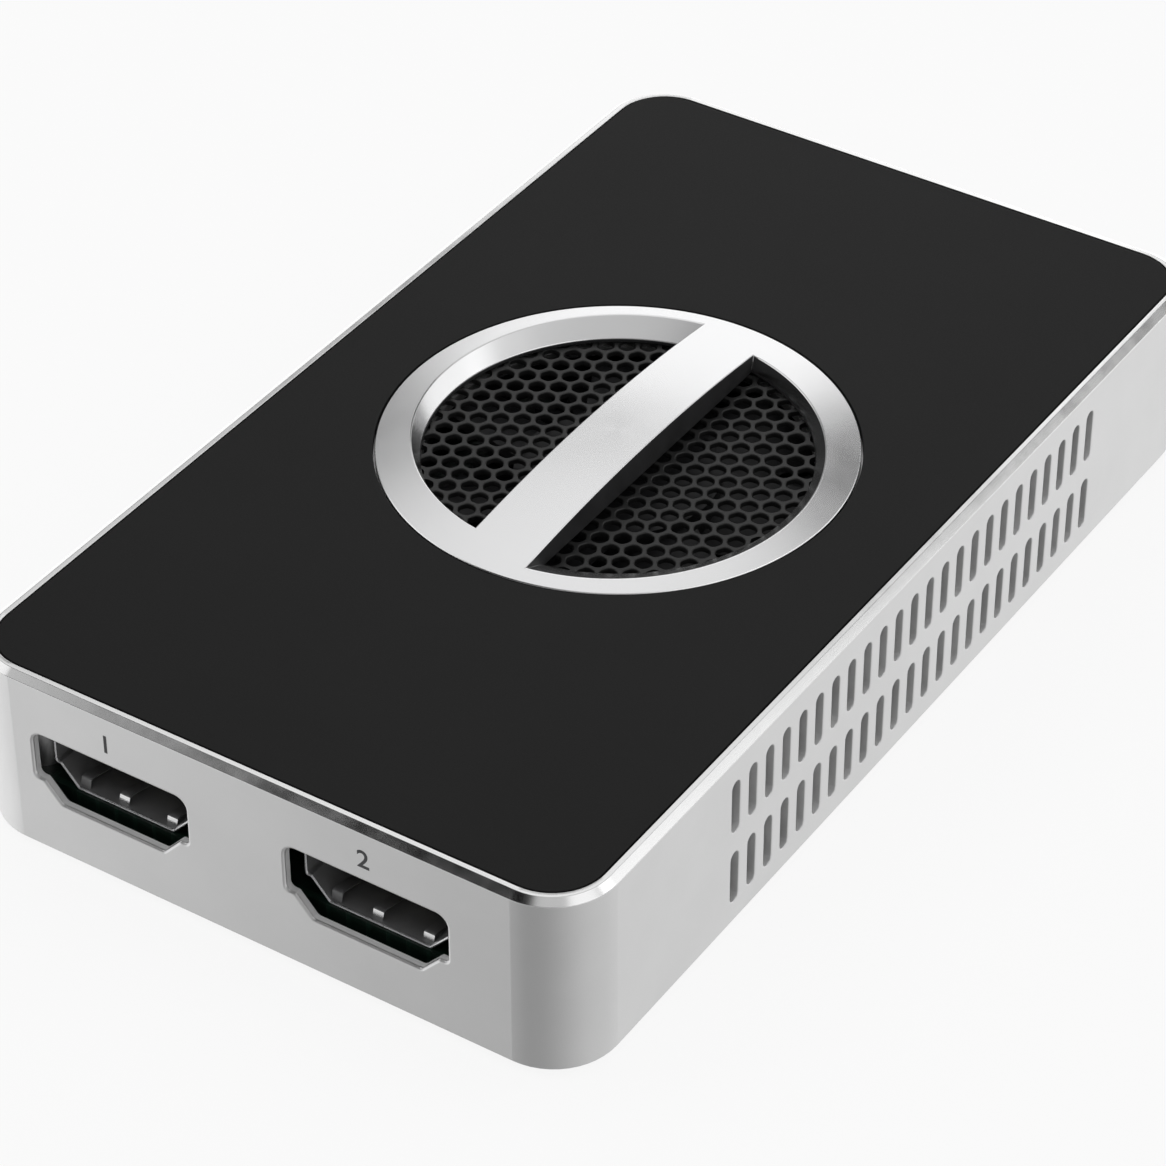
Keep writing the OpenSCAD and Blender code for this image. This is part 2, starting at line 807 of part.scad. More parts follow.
// A finned plate, notched at its corners round the heads of the fan's screws
module heat_sink() {
    base_z = board_z + cpu_t + pad_t;
    sink_h = fan_z - sink_gap - base_z;
    fins = floor((sink_w - fin_t) / 2 / fin_pitch);
    color([0.3, 0.31, 0.33])
    difference() {
        union() {
            block(sink_w, sink_w, sink_base, [0, fan_y, base_z]);
            for (i = [-fins : fins])
                block(sink_w, fin_t, sink_h, [0, fan_y + i * fin_pitch, base_z]);
        }
        translate([0, fan_y, base_z - cut])
            at_corners(fan_holes / 2, fan_holes / 2)
                cylinder(r = fan_screw_head_r + sink_gap, h = sink_h + 2 * cut);
    }
}

module memory_chips() {
    color([0.12, 0.12, 0.13])
    for (side = [-1, 1])
        chip(memory_w, memory_l, chip_t, side * ((sink_w + memory_w) / 2 + chip_gap),
            fan_y - memory_l / 2 - chip_gap);
}

module video_chips() {
    color([0.12, 0.12, 0.13])
    for (x = [in_x, loop_x])
        chip(port_chip_w, port_chip_w, chip_t, x, socket_back_y + port_chip_w / 2 + chip_gap);
}

module host_chip() {
    color([0.12, 0.12, 0.13])
    chip(port_chip_w, port_chip_w, chip_t, host_x, host_front_y - host_l - port_chip_w / 2 - 2 * chip_gap);
}

module audio_chip() {
    color([0.12, 0.12, 0.13])
    chip(small_chip_w, small_chip_w, chip_t, (audio_in_x + audio_out_x) / 2,
        jack_back_y - small_chip_w / 2 - chip_gap);
}

module flash_chip() {
    color([0.12, 0.12, 0.13])
    chip(small_chip_w, small_chip_w, chip_t, (in_x + loop_x) / 2, socket_back_y + small_chip_w / 2);
}

module clock_crystal() {
    color([0.8, 0.8, 0.78])
    chip(small_chip_w / 2, small_chip_w / 2, chip_t, (in_x + loop_x) / 2, socket_back_y - small_chip_w);
}

module power_inductors() {
    color([0.25, 0.25, 0.26])
    for (i = [0 : 2])
        chip(coil_can_w, coil_can_w, coil_can_h, -(fan_w + coil_can_w) / 2 - chip_gap,
            fan_y + i * (coil_can_w + chip_gap) + coil_can_w / 2);
}

module power_capacitors() {
    color([0.75, 0.76, 0.78])
    for (i = [0, 1])
        translate([boss_x - can_r / 2, socket_back_y + can_r + i * (2 * can_r + chip_gap), board_z])
            cylinder(r = can_r, h = can_h);
}

module fan_frame() {
    color([0.09, 0.09, 0.1])
    translate([0, fan_y, fan_z]) {
        difference() {
            slab(fan_w, fan_w, fan_t, fan_corner, 0);
            translate([0, 0, -cut])
                cylinder(r = duct_r, h = fan_t + 2 * cut);
            at_corners(fan_holes / 2, fan_holes / 2)
                translate([0, 0, -cut])
                    cylinder(r = thread_r + 2 * fit, h = fan_t + 2 * cut);
        }
        difference() {
            union() {
                cylinder(r = hub_r + hub_gap, h = fan_base_t);
                cylinder(r = tube_r, h = tube_h);
                for (a = [45 : 90 : 315])
                    rotate(a)
                        translate([0, -strut_w / 2, 0])
                            cube([duct_r + duct_wall / 2, strut_w, fan_base_t]);
            }
            translate([0, 0, thrust_t])
                cylinder(r = bearing_r + fit, h = tube_h);
        }
    }
}

module fan_circuit() {
    color([0.06, 0.3, 0.16])
    translate([0, fan_y, fan_z + fan_base_t])
        difference() {
            cylinder(r = stator_r, h = circuit_t);
            translate([0, 0, -cut])
                cylinder(r = tube_r + fit, h = circuit_t + 2 * cut);
        }
}

module fan_stator() {
    color([0.5, 0.5, 0.52])
    translate([0, fan_y, fan_z + stator_z])
        linear_extrude(stator_h)
            difference() {
                union() {
                    circle(tube_r + fit + shoe_t);
                    for (i = [0 : pole_count - 1])
                        rotate(i * 360 / pole_count) {
                            translate([0, -pole_w / 2])
                                square([stator_r - shoe_t / 2, pole_w]);
                            intersection() {
                                difference() {
                                    circle(stator_r);
                                    circle(stator_r - shoe_t);
                                }
                                polygon([[0, 0], [2 * stator_r, -stator_r], [2 * stator_r, stator_r]]);
                            }
                        }
                }
                circle(tube_r + fit);
            }
}

module fan_coils() {
    width = pole_w + 2 * coil_t;
    inner = tube_r + fit + shoe_t + coil_gap;
    length = sqrt(pow(stator_r - shoe_t, 2) - pow(width / 2, 2)) - coil_gap - inner;
    color([0.72, 0.4, 0.2])
    translate([0, fan_y, fan_z + stator_z + stator_h / 2])
        for (i = [0 : pole_count - 1])
            rotate(i * 360 / pole_count)
                translate([inner, 0, 0])
                    difference() {
                        translate([0, -width / 2, -stator_h / 2 + 2 * fit])
                            cube([length, width, stator_h + coil_t / 2]);
                        translate([-cut, -pole_w / 2 - fit, -stator_h])
                            cube([length + 2 * cut, pole_w + 2 * fit, 3 * stator_h / 2 + fit]);
                    }
}

module fan_bearing() {
    color([0.7, 0.55, 0.3])
    translate([0, fan_y, fan_z + thrust_t])
        difference() {
            cylinder(r = bearing_r, h = tube_h - thrust_t);
            translate([0, 0, -cut])
                cylinder(r = shaft_r + shaft_clear, h = tube_h + 2 * cut);
        }
}

module fan_blade() {
    rotate([90, 0, 0])
        linear_extrude(duct_r)
            rotate(blade_lean)
                intersection() {
                    translate([0, -blade_bow])
                        difference() {
                            circle(blade_bow + blade_t / 2, $fn = 256);
                            circle(blade_bow - blade_t / 2, $fn = 256);
                        }
                    square([blade_chord, blade_chord], center = true);
                }
}

module fan_rotor() {
    color([0.09, 0.09, 0.1])
    translate([0, fan_y, fan_z]) {
        difference() {
            union() {
                translate([0, 0, hub_floor])
                    cylinder(r = hub_r, h = hub_top - hub_floor);
                intersection() {
                    translate([0, 0, blade_z])
                        for (i = [0 : blade_count - 1])
                            rotate(i * 360 / blade_count)
                                fan_blade();
                    translate([0, 0, hub_floor])
                        cylinder(r = duct_r - tip_gap, h = hub_top - hub_floor);
                }
            }
            translate([0, 0, hub_floor - cut])
                cylinder(r = hub_r - hub_wall, h = hub_top - hub_cap - hub_floor + cut);
            translate([0, 0, tube_h])
                cylinder(r = shaft_r + fit / 2, h = fan_t);
        }
    }
}

module fan_magnet() {
    color([0.2, 0.2, 0.2])
    translate([0, fan_y, fan_z + hub_floor])
        difference() {
            cylinder(r = magnet_r, h = hub_top - hub_cap - hub_floor);
            translate([0, 0, -cut])
                cylinder(r = magnet_r - magnet_t, h = fan_t);
        }
}

module fan_shaft() {
    color([0.8, 0.8, 0.82])
    translate([0, fan_y, fan_z + thrust_t + fit])
        cylinder(r = shaft_r, h = hub_top - thrust_t - fit);
}

module fan_screws() {
    color([0.35, 0.35, 0.36])
    translate([0, fan_y, fan_z])
        at_corners(fan_holes / 2, fan_holes / 2)
            difference() {
                union() {
                    cylinder(r = thread_r, h = fan_screw_l);
                    translate([0, 0, -fan_screw_head_h])
                        cylinder(r = fan_screw_head_r, h = fan_screw_head_h);
                }
                translate([0, 0, -fan_screw_head_h - cut])
                    cylinder(r = drive_r, h = fan_screw_head_h / 2 + cut, $fn = 6);
            }
}

module fan_header() {
    color([0.9, 0.88, 0.8])
    block(header_w, header_l, header_h, [plug_x, lead_y, board_z]);
}

module fan_plug() {
    color([0.9, 0.88, 0.8])
    block(plug_w, plug_l, plug_h, [plug_x, lead_y, board_z + header_h]);
}

// Three wires that leave the fan's side, bend down and enter the plug
module fan_lead() {
    plug_top = board_z + header_h + plug_h;
    color([0.1, 0.1, 0.1])
    for (i = [-1, 0, 1])
        translate([0, lead_y + i * lead_pitch, 0]) {
            translate([fan_w / 2, 0, lead_z])
                rotate([0, 90, 0])
                    cylinder(r = lead_r, h = plug_x - lead_bend - fan_w / 2);
            translate([plug_x - lead_bend, 0, lead_z - lead_bend])
                rotate([90, 0, 0])
                    rotate_extrude(angle = 90)
                        translate([lead_bend, 0])
                            circle(lead_r);
            translate([plug_x, 0, plug_top])
                cylinder(r = lead_r, h = lead_z - lead_bend - plug_top);
        }
}

housing();
top_panel();
grille_ring();
grille_mesh();
bottom_cover();
rubber_feet();
cover_screws();
standoffs();
main_board();
video_in_shell();
video_in_insulator();
video_in_contacts();
video_loop_shell();
video_loop_insulator();
video_loop_contacts();
host_port_shell();
host_port_insulator();
host_port_contacts();
audio_in_jack();
audio_out_jack();
audio_terminals();
processor();
thermal_pad();
heat_sink();
memory_chips();
video_chips();
host_chip();
audio_chip();
flash_chip();
clock_crystal();
power_inductors();
power_capacitors();
fan_frame();
fan_circuit();
fan_stator();
fan_coils();
fan_bearing();
fan_rotor();
fan_magnet();
fan_shaft();
fan_screws();
fan_header();
fan_plug();
fan_lead();
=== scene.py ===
"""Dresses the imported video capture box: case, panel, trim ring, honeycomb, sockets, base and inner parts."""

import json
import math

import bmesh
import bpy
from bpy.props import FloatProperty, FloatVectorProperty, IntProperty, PointerProperty
from mathutils import Matrix, Vector


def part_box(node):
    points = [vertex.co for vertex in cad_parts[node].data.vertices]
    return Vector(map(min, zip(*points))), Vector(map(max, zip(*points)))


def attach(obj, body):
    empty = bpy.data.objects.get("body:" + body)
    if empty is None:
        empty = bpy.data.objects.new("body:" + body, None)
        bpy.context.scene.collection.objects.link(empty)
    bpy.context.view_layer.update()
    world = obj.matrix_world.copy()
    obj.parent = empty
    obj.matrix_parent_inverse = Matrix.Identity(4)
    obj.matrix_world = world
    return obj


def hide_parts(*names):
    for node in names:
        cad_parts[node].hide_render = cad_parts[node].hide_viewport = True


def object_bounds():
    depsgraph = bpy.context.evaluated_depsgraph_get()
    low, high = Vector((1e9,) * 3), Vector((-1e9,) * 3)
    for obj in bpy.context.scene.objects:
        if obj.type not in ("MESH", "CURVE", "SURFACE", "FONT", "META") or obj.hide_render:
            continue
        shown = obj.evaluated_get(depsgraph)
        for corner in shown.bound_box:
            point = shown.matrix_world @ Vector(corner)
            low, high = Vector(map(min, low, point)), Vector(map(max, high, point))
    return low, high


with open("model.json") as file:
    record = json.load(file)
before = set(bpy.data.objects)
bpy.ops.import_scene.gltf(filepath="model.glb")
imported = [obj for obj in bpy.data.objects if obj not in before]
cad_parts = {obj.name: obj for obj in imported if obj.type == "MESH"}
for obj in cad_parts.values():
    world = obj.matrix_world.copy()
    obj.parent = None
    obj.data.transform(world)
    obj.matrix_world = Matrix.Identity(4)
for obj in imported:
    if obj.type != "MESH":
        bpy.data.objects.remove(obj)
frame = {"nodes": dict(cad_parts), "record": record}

bl_info = {
    "name": "Video capture box",
    "version": (1, 0, 0),
    "blender": (4, 5, 0),
    "location": "3D View > Sidebar > Capture box",
    "description": "Builds the visible pieces, finishes and studio of a small video capture box",
    "category": "Object",
}

MM = 0.001
CAD_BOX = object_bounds()
CASE_LOW, CASE_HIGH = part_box("housing")
PANEL_LOW, PANEL_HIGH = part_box("top_panel")
RING_LOW, RING_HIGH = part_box("grille_ring")
MESH_LOW, MESH_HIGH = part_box("grille_mesh")
COVER_LOW, COVER_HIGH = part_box("bottom_cover")
FOOT_LOW, FOOT_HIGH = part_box("rubber_feet")
SHELL_LOW, SHELL_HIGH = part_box("video_in_shell")
INPUT_X = sum(corner.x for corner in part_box("video_in_insulator")) / 2
LOOP_X = sum(corner.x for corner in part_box("video_loop_insulator")) / 2
HOST_LOW, HOST_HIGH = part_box("host_port_insulator")
JACK_LOW, JACK_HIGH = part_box("audio_in_jack")
OUTER_JACK_LOW, OUTER_JACK_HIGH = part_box("audio_out_jack")
FAN_Y = (RING_LOW.y + RING_HIGH.y) / 2
RIM_Z = CASE_HIGH.z
DECK_Z = PANEL_LOW.z
MESH_RADIUS = (MESH_HIGH.x - MESH_LOW.x) / 2
RING_RADIUS = (RING_HIGH.x - RING_LOW.x) / 2

CORNER_STEPS = 12
UP, DOWN = (0, 0, 1), (0, 0, -1)
QUARTERS = [(i, j) for i in (-1, 1) for j in (-1, 1)]
# The case's walls, each with its outward direction and the direction along it
WALLS = [(Vector((x, y, 0)), Vector((-y, x, 0))) for x, y in ((1, 0), (0, 1), (-1, 0), (0, -1))]
RIGHT, REAR, LEFT, FRONT = range(4)


def length_of(name, description, value):
    """A length property whose usual value is given in millimetres."""
    return FloatProperty(name=name, description=description, default=value * MM, min=0.0, unit="LENGTH",
                         precision=5)


def colour_of(name, description, value):
    """A linear colour property."""
    return FloatVectorProperty(name=name, description=description, default=value, min=0.0, max=1.0, size=3,
                               subtype="COLOR")


class CaseSizes(bpy.types.PropertyGroup):
    """Sizes of the aluminium case, of the panel set into it and of its base"""
    corner: length_of("Corner", "Radius of the upright corners", 5.9)
    wall: length_of("Wall", "Thickness of the walls", 1.2)
    deck: length_of("Deck", "Thickness of the deck under the panel", 1.8)
    chamfer_width: length_of("Chamfer width", "Width of the bright chamfer", 0.7)
    chamfer_height: length_of("Chamfer height", "Height of the bright chamfer", 0.45)
    chamfer_edge: length_of("Chamfer edge", "Softening of the chamfer's two edges", 0.04)
    rim: length_of("Rim", "Width of the flat rim around the panel", 0.45)
    edge: length_of("Edge", "Rounding of the lower edge", 0.3)
    panel_edge: length_of("Panel edge", "Rounding of the panel's edges", 0.06)
    screw_inset: length_of("Screw inset", "Distance of the cover's screws from the case's sides", 4.7)
    foot: length_of("Foot", "Radius of a rubber foot", 4.5)


class VentSizes(bpy.types.PropertyGroup):
    """Sizes of the slots in the two long sides"""
    count: IntProperty(name="Slots", description="Number of slots in each row", default=24, min=1)
    pitch: length_of("Pitch", "Distance from slot to slot", 2.56)
    width: length_of("Width", "Width of a slot", 1.2)
    height: length_of("Height", "Length of a slot, ends included", 5.2)
    drop: length_of("Drop", "Depth of the upper row's middle below the rim", 5.3)
    row_gap: length_of("Row gap", "Distance between the two rows", 7.4)
    edge: length_of("Edge", "Rounding of a slot's edge", 0.1)


class GrilleSizes(bpy.types.PropertyGroup):
    """Sizes of the trim ring and of the honeycomb under it"""
    bar: length_of("Bar", "Width of the bar across the ring", 6.4)
    mouth: length_of("Mouth", "Radius of the open mouth at the honeycomb", 16.9)
    bevel: length_of("Bevel", "Radius of the bevel's upper edge", 18.3)
    shift: length_of("Shift", "Sideways shift of the bevel's upper edge", 1.15)
    land: length_of("Land", "Upright part of the mouth under the bevel", 0.4)
    edge: length_of("Edge", "Rounding of the ring's edges", 0.1)
    pitch: length_of("Pitch", "Distance from hexagon to hexagon", 1.9)
    web: length_of("Web", "Width of the web between two hexagons", 0.45)
    web_edge: length_of("Web edge", "Rounding of a hexagon's upper edge", 0.1)
    cell_corner: length_of("Cell corner", "Rounding of a hexagon's six corners", 0.42)


class SocketSizes(bpy.types.PropertyGroup):
    """Sizes of the sockets and of the cut-outs in front of them"""
    width: length_of("Width", "Width of a front cut-out", 15.5)
    height: length_of("Height", "Height of a front cut-out", 6.6)
    side: length_of("Side", "Height of the cut-out's upright sides", 4.7)
    step: length_of("Step", "Step inward under the upright sides", 0.9)
    floor: length_of("Floor", "Width of the cut-out's floor", 10.3)
    corner: length_of("Corner", "Radius of the cut-out's corners", 1.1)
    gap: length_of("Gap", "Gap between the cut-out and the socket's shell", 0.55)
    sheet: length_of("Sheet", "Thickness of the socket's sheet", 0.3)
    edge: length_of("Edge", "Rounded edge around a front cut-out", 0.25)
    lip: length_of("Lip", "Depth of a front cut-out's wall, up to the pocket behind it", 0.75)
    pocket: length_of("Pocket", "Step outward of the pocket behind a front cut-out", 0.5)
    spring_pitch: length_of("Spring pitch", "Distance from the socket's middle to its outer springs", 4.4)
    jack_hole: length_of("Jack hole", "Radius of the hole around a jack's nose", 3.3)
    number: length_of("Number", "Height of the numbers over the front sockets", 1.75)


class FinishColours(bpy.types.PropertyGroup):
    """Colours of the finishes that show most"""
    aluminium: colour_of("Aluminium", "Blasted and anodised case", (0.70, 0.70, 0.70))
    cut: colour_of("Cut edge", "Bright cut chamfer", (0.86, 0.86, 0.86))
    panel: colour_of("Panel", "Matte black top panel", (0.0082, 0.0082, 0.0082))
    ring: colour_of("Ring", "Turned trim ring", (0.86, 0.86, 0.865))
    honeycomb: colour_of("Honeycomb", "Satin black honeycomb", (0.011, 0.011, 0.011))
    rubber: colour_of("Rubber", "Feet", (0.022, 0.022, 0.022))
    ink: colour_of("Ink", "Printed numbers", (0.055, 0.055, 0.058))


class StageSettings(bpy.types.PropertyGroup):
    """Camera, floor and light"""
    lens: FloatProperty(name="Lens", description="Focal length of the camera", default=133.0, min=1.0,
                        unit="CAMERA")
    eye: FloatVectorProperty(name="Eye", description="Place of the camera", size=3, unit="LENGTH",
                             default=(0.16083, -0.2491, 0.23599))
    target: FloatVectorProperty(name="Target", description="Point that the camera looks at", size=3,
                                unit="LENGTH", default=(0.0080816, -0.0172877, 0.0183))
    roll: FloatProperty(name="Roll", description="Turn of the camera about its own axis", subtype="ANGLE",
                        default=math.radians(-0.248))
    background: FloatProperty(name="Background", description="Brightness of the floor and backdrop",
                              default=0.947, min=0.0, max=1.0)


class CaptureBoxSettings(bpy.types.PropertyGroup):
    """All settings of the capture box"""
    case: PointerProperty(type=CaseSizes)
    vents: PointerProperty(type=VentSizes)
    grille: PointerProperty(type=GrilleSizes)
    sockets: PointerProperty(type=SocketSizes)
    colours: PointerProperty(type=FinishColours)
    stage: PointerProperty(type=StageSettings)


# Outlines, as lists of points in a plane

def arc(centre, radius, start, sweep, steps):
    """Points of an arc, angles in degrees."""
    turns = [math.radians(start + sweep * i / steps) for i in range(steps + 1)]
    return [(centre[0] + radius * math.cos(a), centre[1] + radius * math.sin(a)) for a in turns]


def circle(centre, radius, steps):
    """Points of a full circle."""
    return arc(centre, radius, 0, 360, steps)[:-1]


def round_rect(width, length, radius, centre=(0, 0), steps=CORNER_STEPS):
    """Rounded rectangle, from the front end of its right side round to the front."""
    x, y = width / 2 - radius, length / 2 - radius
    corners = ((x, -y, -90), (x, y, 0), (-x, y, 90), (-x, -y, 180))
    return [point for cx, cy, start in corners
            for point in arc((centre[0] + cx, centre[1] + cy), radius, start, 90, steps)]


def slot(centre, width, height, steps=8):
    """Upright slot with round ends."""
    reach = (height - width) / 2
    return (arc((centre[0], centre[1] + reach), width / 2, 0, 180, steps)
            + arc((centre[0], centre[1] - reach), width / 2, 180, 180, steps))


def rounded(corners, steps=6):
    """Outline whose corners, given with a radius each, are rounded."""
    points = []
    for i, (x, y, radius) in enumerate(corners):
        here = Vector((x, y))
        back = (Vector(corners[i - 1][:2]) - here).normalized()
        on = (Vector(corners[(i + 1) % len(corners)][:2]) - here).normalized()
        half = back.angle(on) / 2
        middle = here + (back + on).normalized() * radius / math.sin(half)
        first = here + back * radius / math.tan(half) - middle
        last = here + on * radius / math.tan(half) - middle
        start = math.degrees(math.atan2(first.y, first.x))
        sweep = (math.degrees(math.atan2(last.y, last.x)) - start + 180) % 360 - 180
        points += arc(middle, radius, start, sweep, steps)
    return points


def bend(start, corner, end, steps=4):
    """Points of a soft bend from a start round a corner to an end."""
    start, corner, end = Vector(start), Vector(corner), Vector(end)
    shares = [i / steps for i in range(steps + 1)]
    return [tuple(start.lerp(corner, s).lerp(corner.lerp(end, s), s)) for s in shares]


def round_over(edge, steps=4):
    """Steps of a quarter round from a face over its edge, as distances along the face and below it."""
    turns = [math.radians(90 * i / steps) for i in range(steps + 1)]
    return [(edge * (math.sin(a) - 1), edge * (1 - math.cos(a))) for a in turns]


def cut_by_circle(outline, radius):
    """The part of a small outline that lies inside a circle about the origin."""
    kept = []
    for here, there in zip(outline, outline[1:] + outline[:1]):
        here, there = Vector(here), Vector(there)
        if here.length <= radius:
            kept.append(tuple(here))
        if (here.length <= radius) != (there.length <= radius):
            step = there - here
            middle = here.dot(step) / step.dot(step)
            root = math.sqrt(middle ** 2 - (here.dot(here) - radius ** 2) / step.dot(step))
            share = -middle + root if here.length <= radius else -middle - root
            kept.append(tuple(here + step * share))
    return kept


def socket_outline(sizes, inside):
    """Outline of a front socket, a distance inside its cut-out."""
    least_corner = 0.35 * MM
    lean = math.atan2(sizes.height - sizes.side, (sizes.width - sizes.floor) / 2 - sizes.step)
    shift = inside * math.tan(lean / 2)
    radius = max(sizes.corner - inside, least_corner)
    top, side = sizes.height / 2 - inside, sizes.width / 2 - inside
    ledge = sizes.height / 2 - sizes.side + inside
    half = [(side, top, radius), (side, ledge, radius / 2),
            (sizes.width / 2 - sizes.step - shift, ledge, radius / 4),
            (sizes.floor / 2 - shift, -top, radius / 2)]
    return rounded(half + [(-x, y, r) for x, y, r in reversed(half)])


# Meshes

class Skin:
    """Gathers the faces of one piece and makes an object of them."""

    def __init__(self):
        self.mesh = bmesh.new()
        self.flat = set()

    def ring(self, points):
        return [self.mesh.verts.new(point) for point in points]

    def level(self, outline, z):
        """A ring of a level outline at a height."""
        return self.ring([(x, y, z) for x, y in outline])

    def face(self, corners, finish=0):
        self.mesh.faces.new(corners).material_index = finish

    def band(self, low, high, finish=0, closed=True):
        for i in range(len(low) if closed else len(low) - 1):
            j = (i + 1) % len(low)
            self.face((low[i], low[j], high[j], high[i]), finish)

    def stack(self, rings, finish=0):
        for low, high in zip(rings, rings[1:]):
            self.band(low, high, finish)

    def fill(self, rings, normal):
        """A flat face inside the first ring, with the other rings as its holes."""
        edges = []
        for ring in rings:
            for a, b in zip(ring, ring[1:] + ring[:1]):
                edges.append(self.mesh.edges.get((a, b)) or self.mesh.edges.new((a, b)))
        bmesh.ops.triangle_fill(self.mesh, use_beauty=True, edges=edges, normal=normal)
        self.flat.update(edges)

    def box(self, low, high):
        corners = ((low[0], low[1]), (high[0], low[1]), (high[0], high[1]), (low[0], high[1]))
        floor, roof = self.level(corners, low[2]), self.level(corners, high[2])
        self.band(floor, roof)
        self.face(floor)
        self.face(roof)

    def lathe(self, profile, centre, steps):
        """A closed turned form: the profile's radii and heights run from the axis back to the axis."""
        turned = [self.level(circle(centre, radius, steps), z) for radius, z in profile]
        self.stack(turned)
        self.face(turned[0])
        self.face(turned[-1])

    def plate(self, low, high, corner, edge, face_z, way):
        """Rings of a rounded plate's side, from the face with the rounded edge to the other face."""
        size = high - low
        return [self.level(round_rect(size.x + 2 * along, size.y + 2 * along, corner + along),
                           face_z + way * below) for along, below in round_over(edge) + [(0, size.z)]]

    def piece(self, name, body, slot_name, materials, sharp=25.0, origin=(0, 0, 0)):
        """Ends the mesh and makes the object, which rides on a body."""
        bmesh.ops.recalc_face_normals(self.mesh, faces=self.mesh.faces)
        for face in self.mesh.faces:
            face.smooth = True
        for edge in self.mesh.edges:
            edge.smooth = edge not in self.flat and edge.calc_face_angle(0.0) < math.radians(sharp)
        data = bpy.data.meshes.new(name)
        self.mesh.to_mesh(data)
        self.mesh.free()
        data.transform(Matrix.Translation(-Vector(origin)))
        for material in materials:
            data.materials.append(material)
        made = bpy.data.objects.new(name, data)
        made.location = origin
        bpy.context.scene.collection.objects.link(made)
        weigh_normals(made)
        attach(made, body)
        return made


def weigh_normals(made):
    """Keeps flat faces flat beside their rounded edges."""
    weigh = made.modifiers.new("flat faces", "WEIGHTED_NORMAL")
    weigh.keep_sharp = True
    weigh.weight = 100


def soften(made, width, angle):
    """Rounds the edges that are sharper than an angle in degrees."""
    edges = made.modifiers.new("edges", "BEVEL")
    edges.width = width
    edges.segments = 2
    edges.limit_method = "ANGLE"
    edges.angle_limit = math.radians(angle)


# Finishes

# Values between which nearly all of a noise lies
NOISE_LOW, NOISE_HIGH = 0.3, 0.7


def put(tree, kind, inputs=None, output=0, **settings):
    """Adds a node with its settings, values and links, and returns one of its outputs."""
    made = tree.nodes.new(kind)
    for key, value in settings.items():
        setattr(made, key, value)
    for key, value in (inputs or {}).items():
        if isinstance(value, bpy.types.NodeSocket):
            tree.links.new(value, made.inputs[key])
        else:
            made.inputs[key].default_value = value
    return made.outputs[output]


def blank(name, **constants):
    """A new material with its surface shader's constants set."""
    material = bpy.data.materials.new(name)
    material.use_nodes = True
    shader = material.node_tree.nodes["Principled BSDF"]
    for key, value in constants.items():
        shader.inputs[key.replace("_", " ")].default_value = value
    return material, material.node_tree, shader


def lay_on(tree, shader, colour, roughness, normal):
    """Links a finish's colour, roughness and relief to its surface shader."""
    for key, value in (("Base Color", colour), ("Roughness", roughness), ("Normal", normal)):
        tree.links.new(value, shader.inputs[key])


def shade(colour, share):
    """A colour made darker or lighter by a share."""
    return tuple(min(1.0, max(0.0, part * share)) for part in colour)


def tones(tree, value, colour, darkest, lightest):
    """A colour that a noise varies between two shares of it."""
    ramp = put(tree, "ShaderNodeValToRGB", {"Fac": value})
    ends = ((NOISE_LOW, darkest), (NOISE_HIGH, lightest))
    for element, (place, share) in zip(ramp.node.color_ramp.elements, ends):
        element.position = place
        element.color = shade(colour, share) + (1.0,)
    return ramp


def span(tree, value, low, high, start=NOISE_LOW, end=NOISE_HIGH):
    """Maps a noise's value onto a range."""
    return put(tree, "ShaderNodeMapRange", {"Value": value, "From Min": start, "From Max": end,
                                            "To Min": low, "To Max": high})


def total(tree, first, second):
    """Sum of two values."""
    return put(tree, "ShaderNodeMath", {0: first, 1: second}, operation="ADD")


def noise(tree, place, scale, detail=3.0):
    """Value of a noise of a number of grains to the metre."""
    return put(tree, "ShaderNodeTexNoise", {"Vector": place, "Scale": scale, "Detail": detail,
                                            "Roughness": 0.55})


def object_place(tree, stretch=(1, 1, 1)):
    """Object coordinates, stretched for drawn or brushed grain."""
    place = put(tree, "ShaderNodeTexCoord", output="Object")
    if stretch == (1, 1, 1):
        return place
    return put(tree, "ShaderNodeMapping", {"Vector": place, "Scale": stretch})


def relief(tree, height, depth):
    """Bump of a depth in millimetres."""
    return put(tree, "ShaderNodeBump", {"Height": height, "Distance": depth * MM, "Strength": 1.0})


def grained(name, colour, metallic, roughness, grain, depth, tone=0.1, patch=350, stretch=(1, 1, 1),
            **constants):
    """A finish whose grain varies its tone, gloss and relief, with slow patches of wear over it."""
    spread = 0.06
    material, tree, shader = blank(name, Metallic=metallic, **constants)
    fine = noise(tree, object_place(tree, stretch), grain)
    slow = noise(tree, object_place(tree), patch, 4.0)
    lay_on(tree, shader, tones(tree, slow, colour, 1 - tone, 1 + tone),
           span(tree, total(tree, fine, slow), roughness - spread, roughness + spread, 0.7, 1.3),
           relief(tree, fine, depth))
    return material


def blasted_aluminium(name, colour, roughness):
    """Bead-blasted and anodised aluminium: a pitted grain with a faint cloudiness."""
    spread = 0.05
    material, tree, shader = blank(name, Metallic=1.0)
    place = object_place(tree)
    pits = put(tree, "ShaderNodeTexVoronoi", {"Vector": place, "Scale": 6500.0})
    grain = noise(tree, place, 11000.0, 2.0)
    lay_on(tree, shader, tones(tree, noise(tree, place, 120.0, 4.0), colour, 0.975, 1.02),
           span(tree, grain, roughness - spread, roughness + spread),
           relief(tree, total(tree, pits, grain), 0.002))
    return material


def bright_cut(name, colour):
    """Diamond-cut edge: polished, with the fine lines that the cutter leaves along it."""
    material, tree, shader = blank(name, Metallic=1.0)
    lines = noise(tree, object_place(tree, (1, 1, 14)), 2600.0, 2.0)
    wear = noise(tree, object_place(tree), 420.0, 5.0)
    lay_on(tree, shader, tones(tree, wear, colour, 0.95, 1.02), span(tree, wear, 0.13, 0.2),
           relief(tree, lines, 0.0006))
    return material


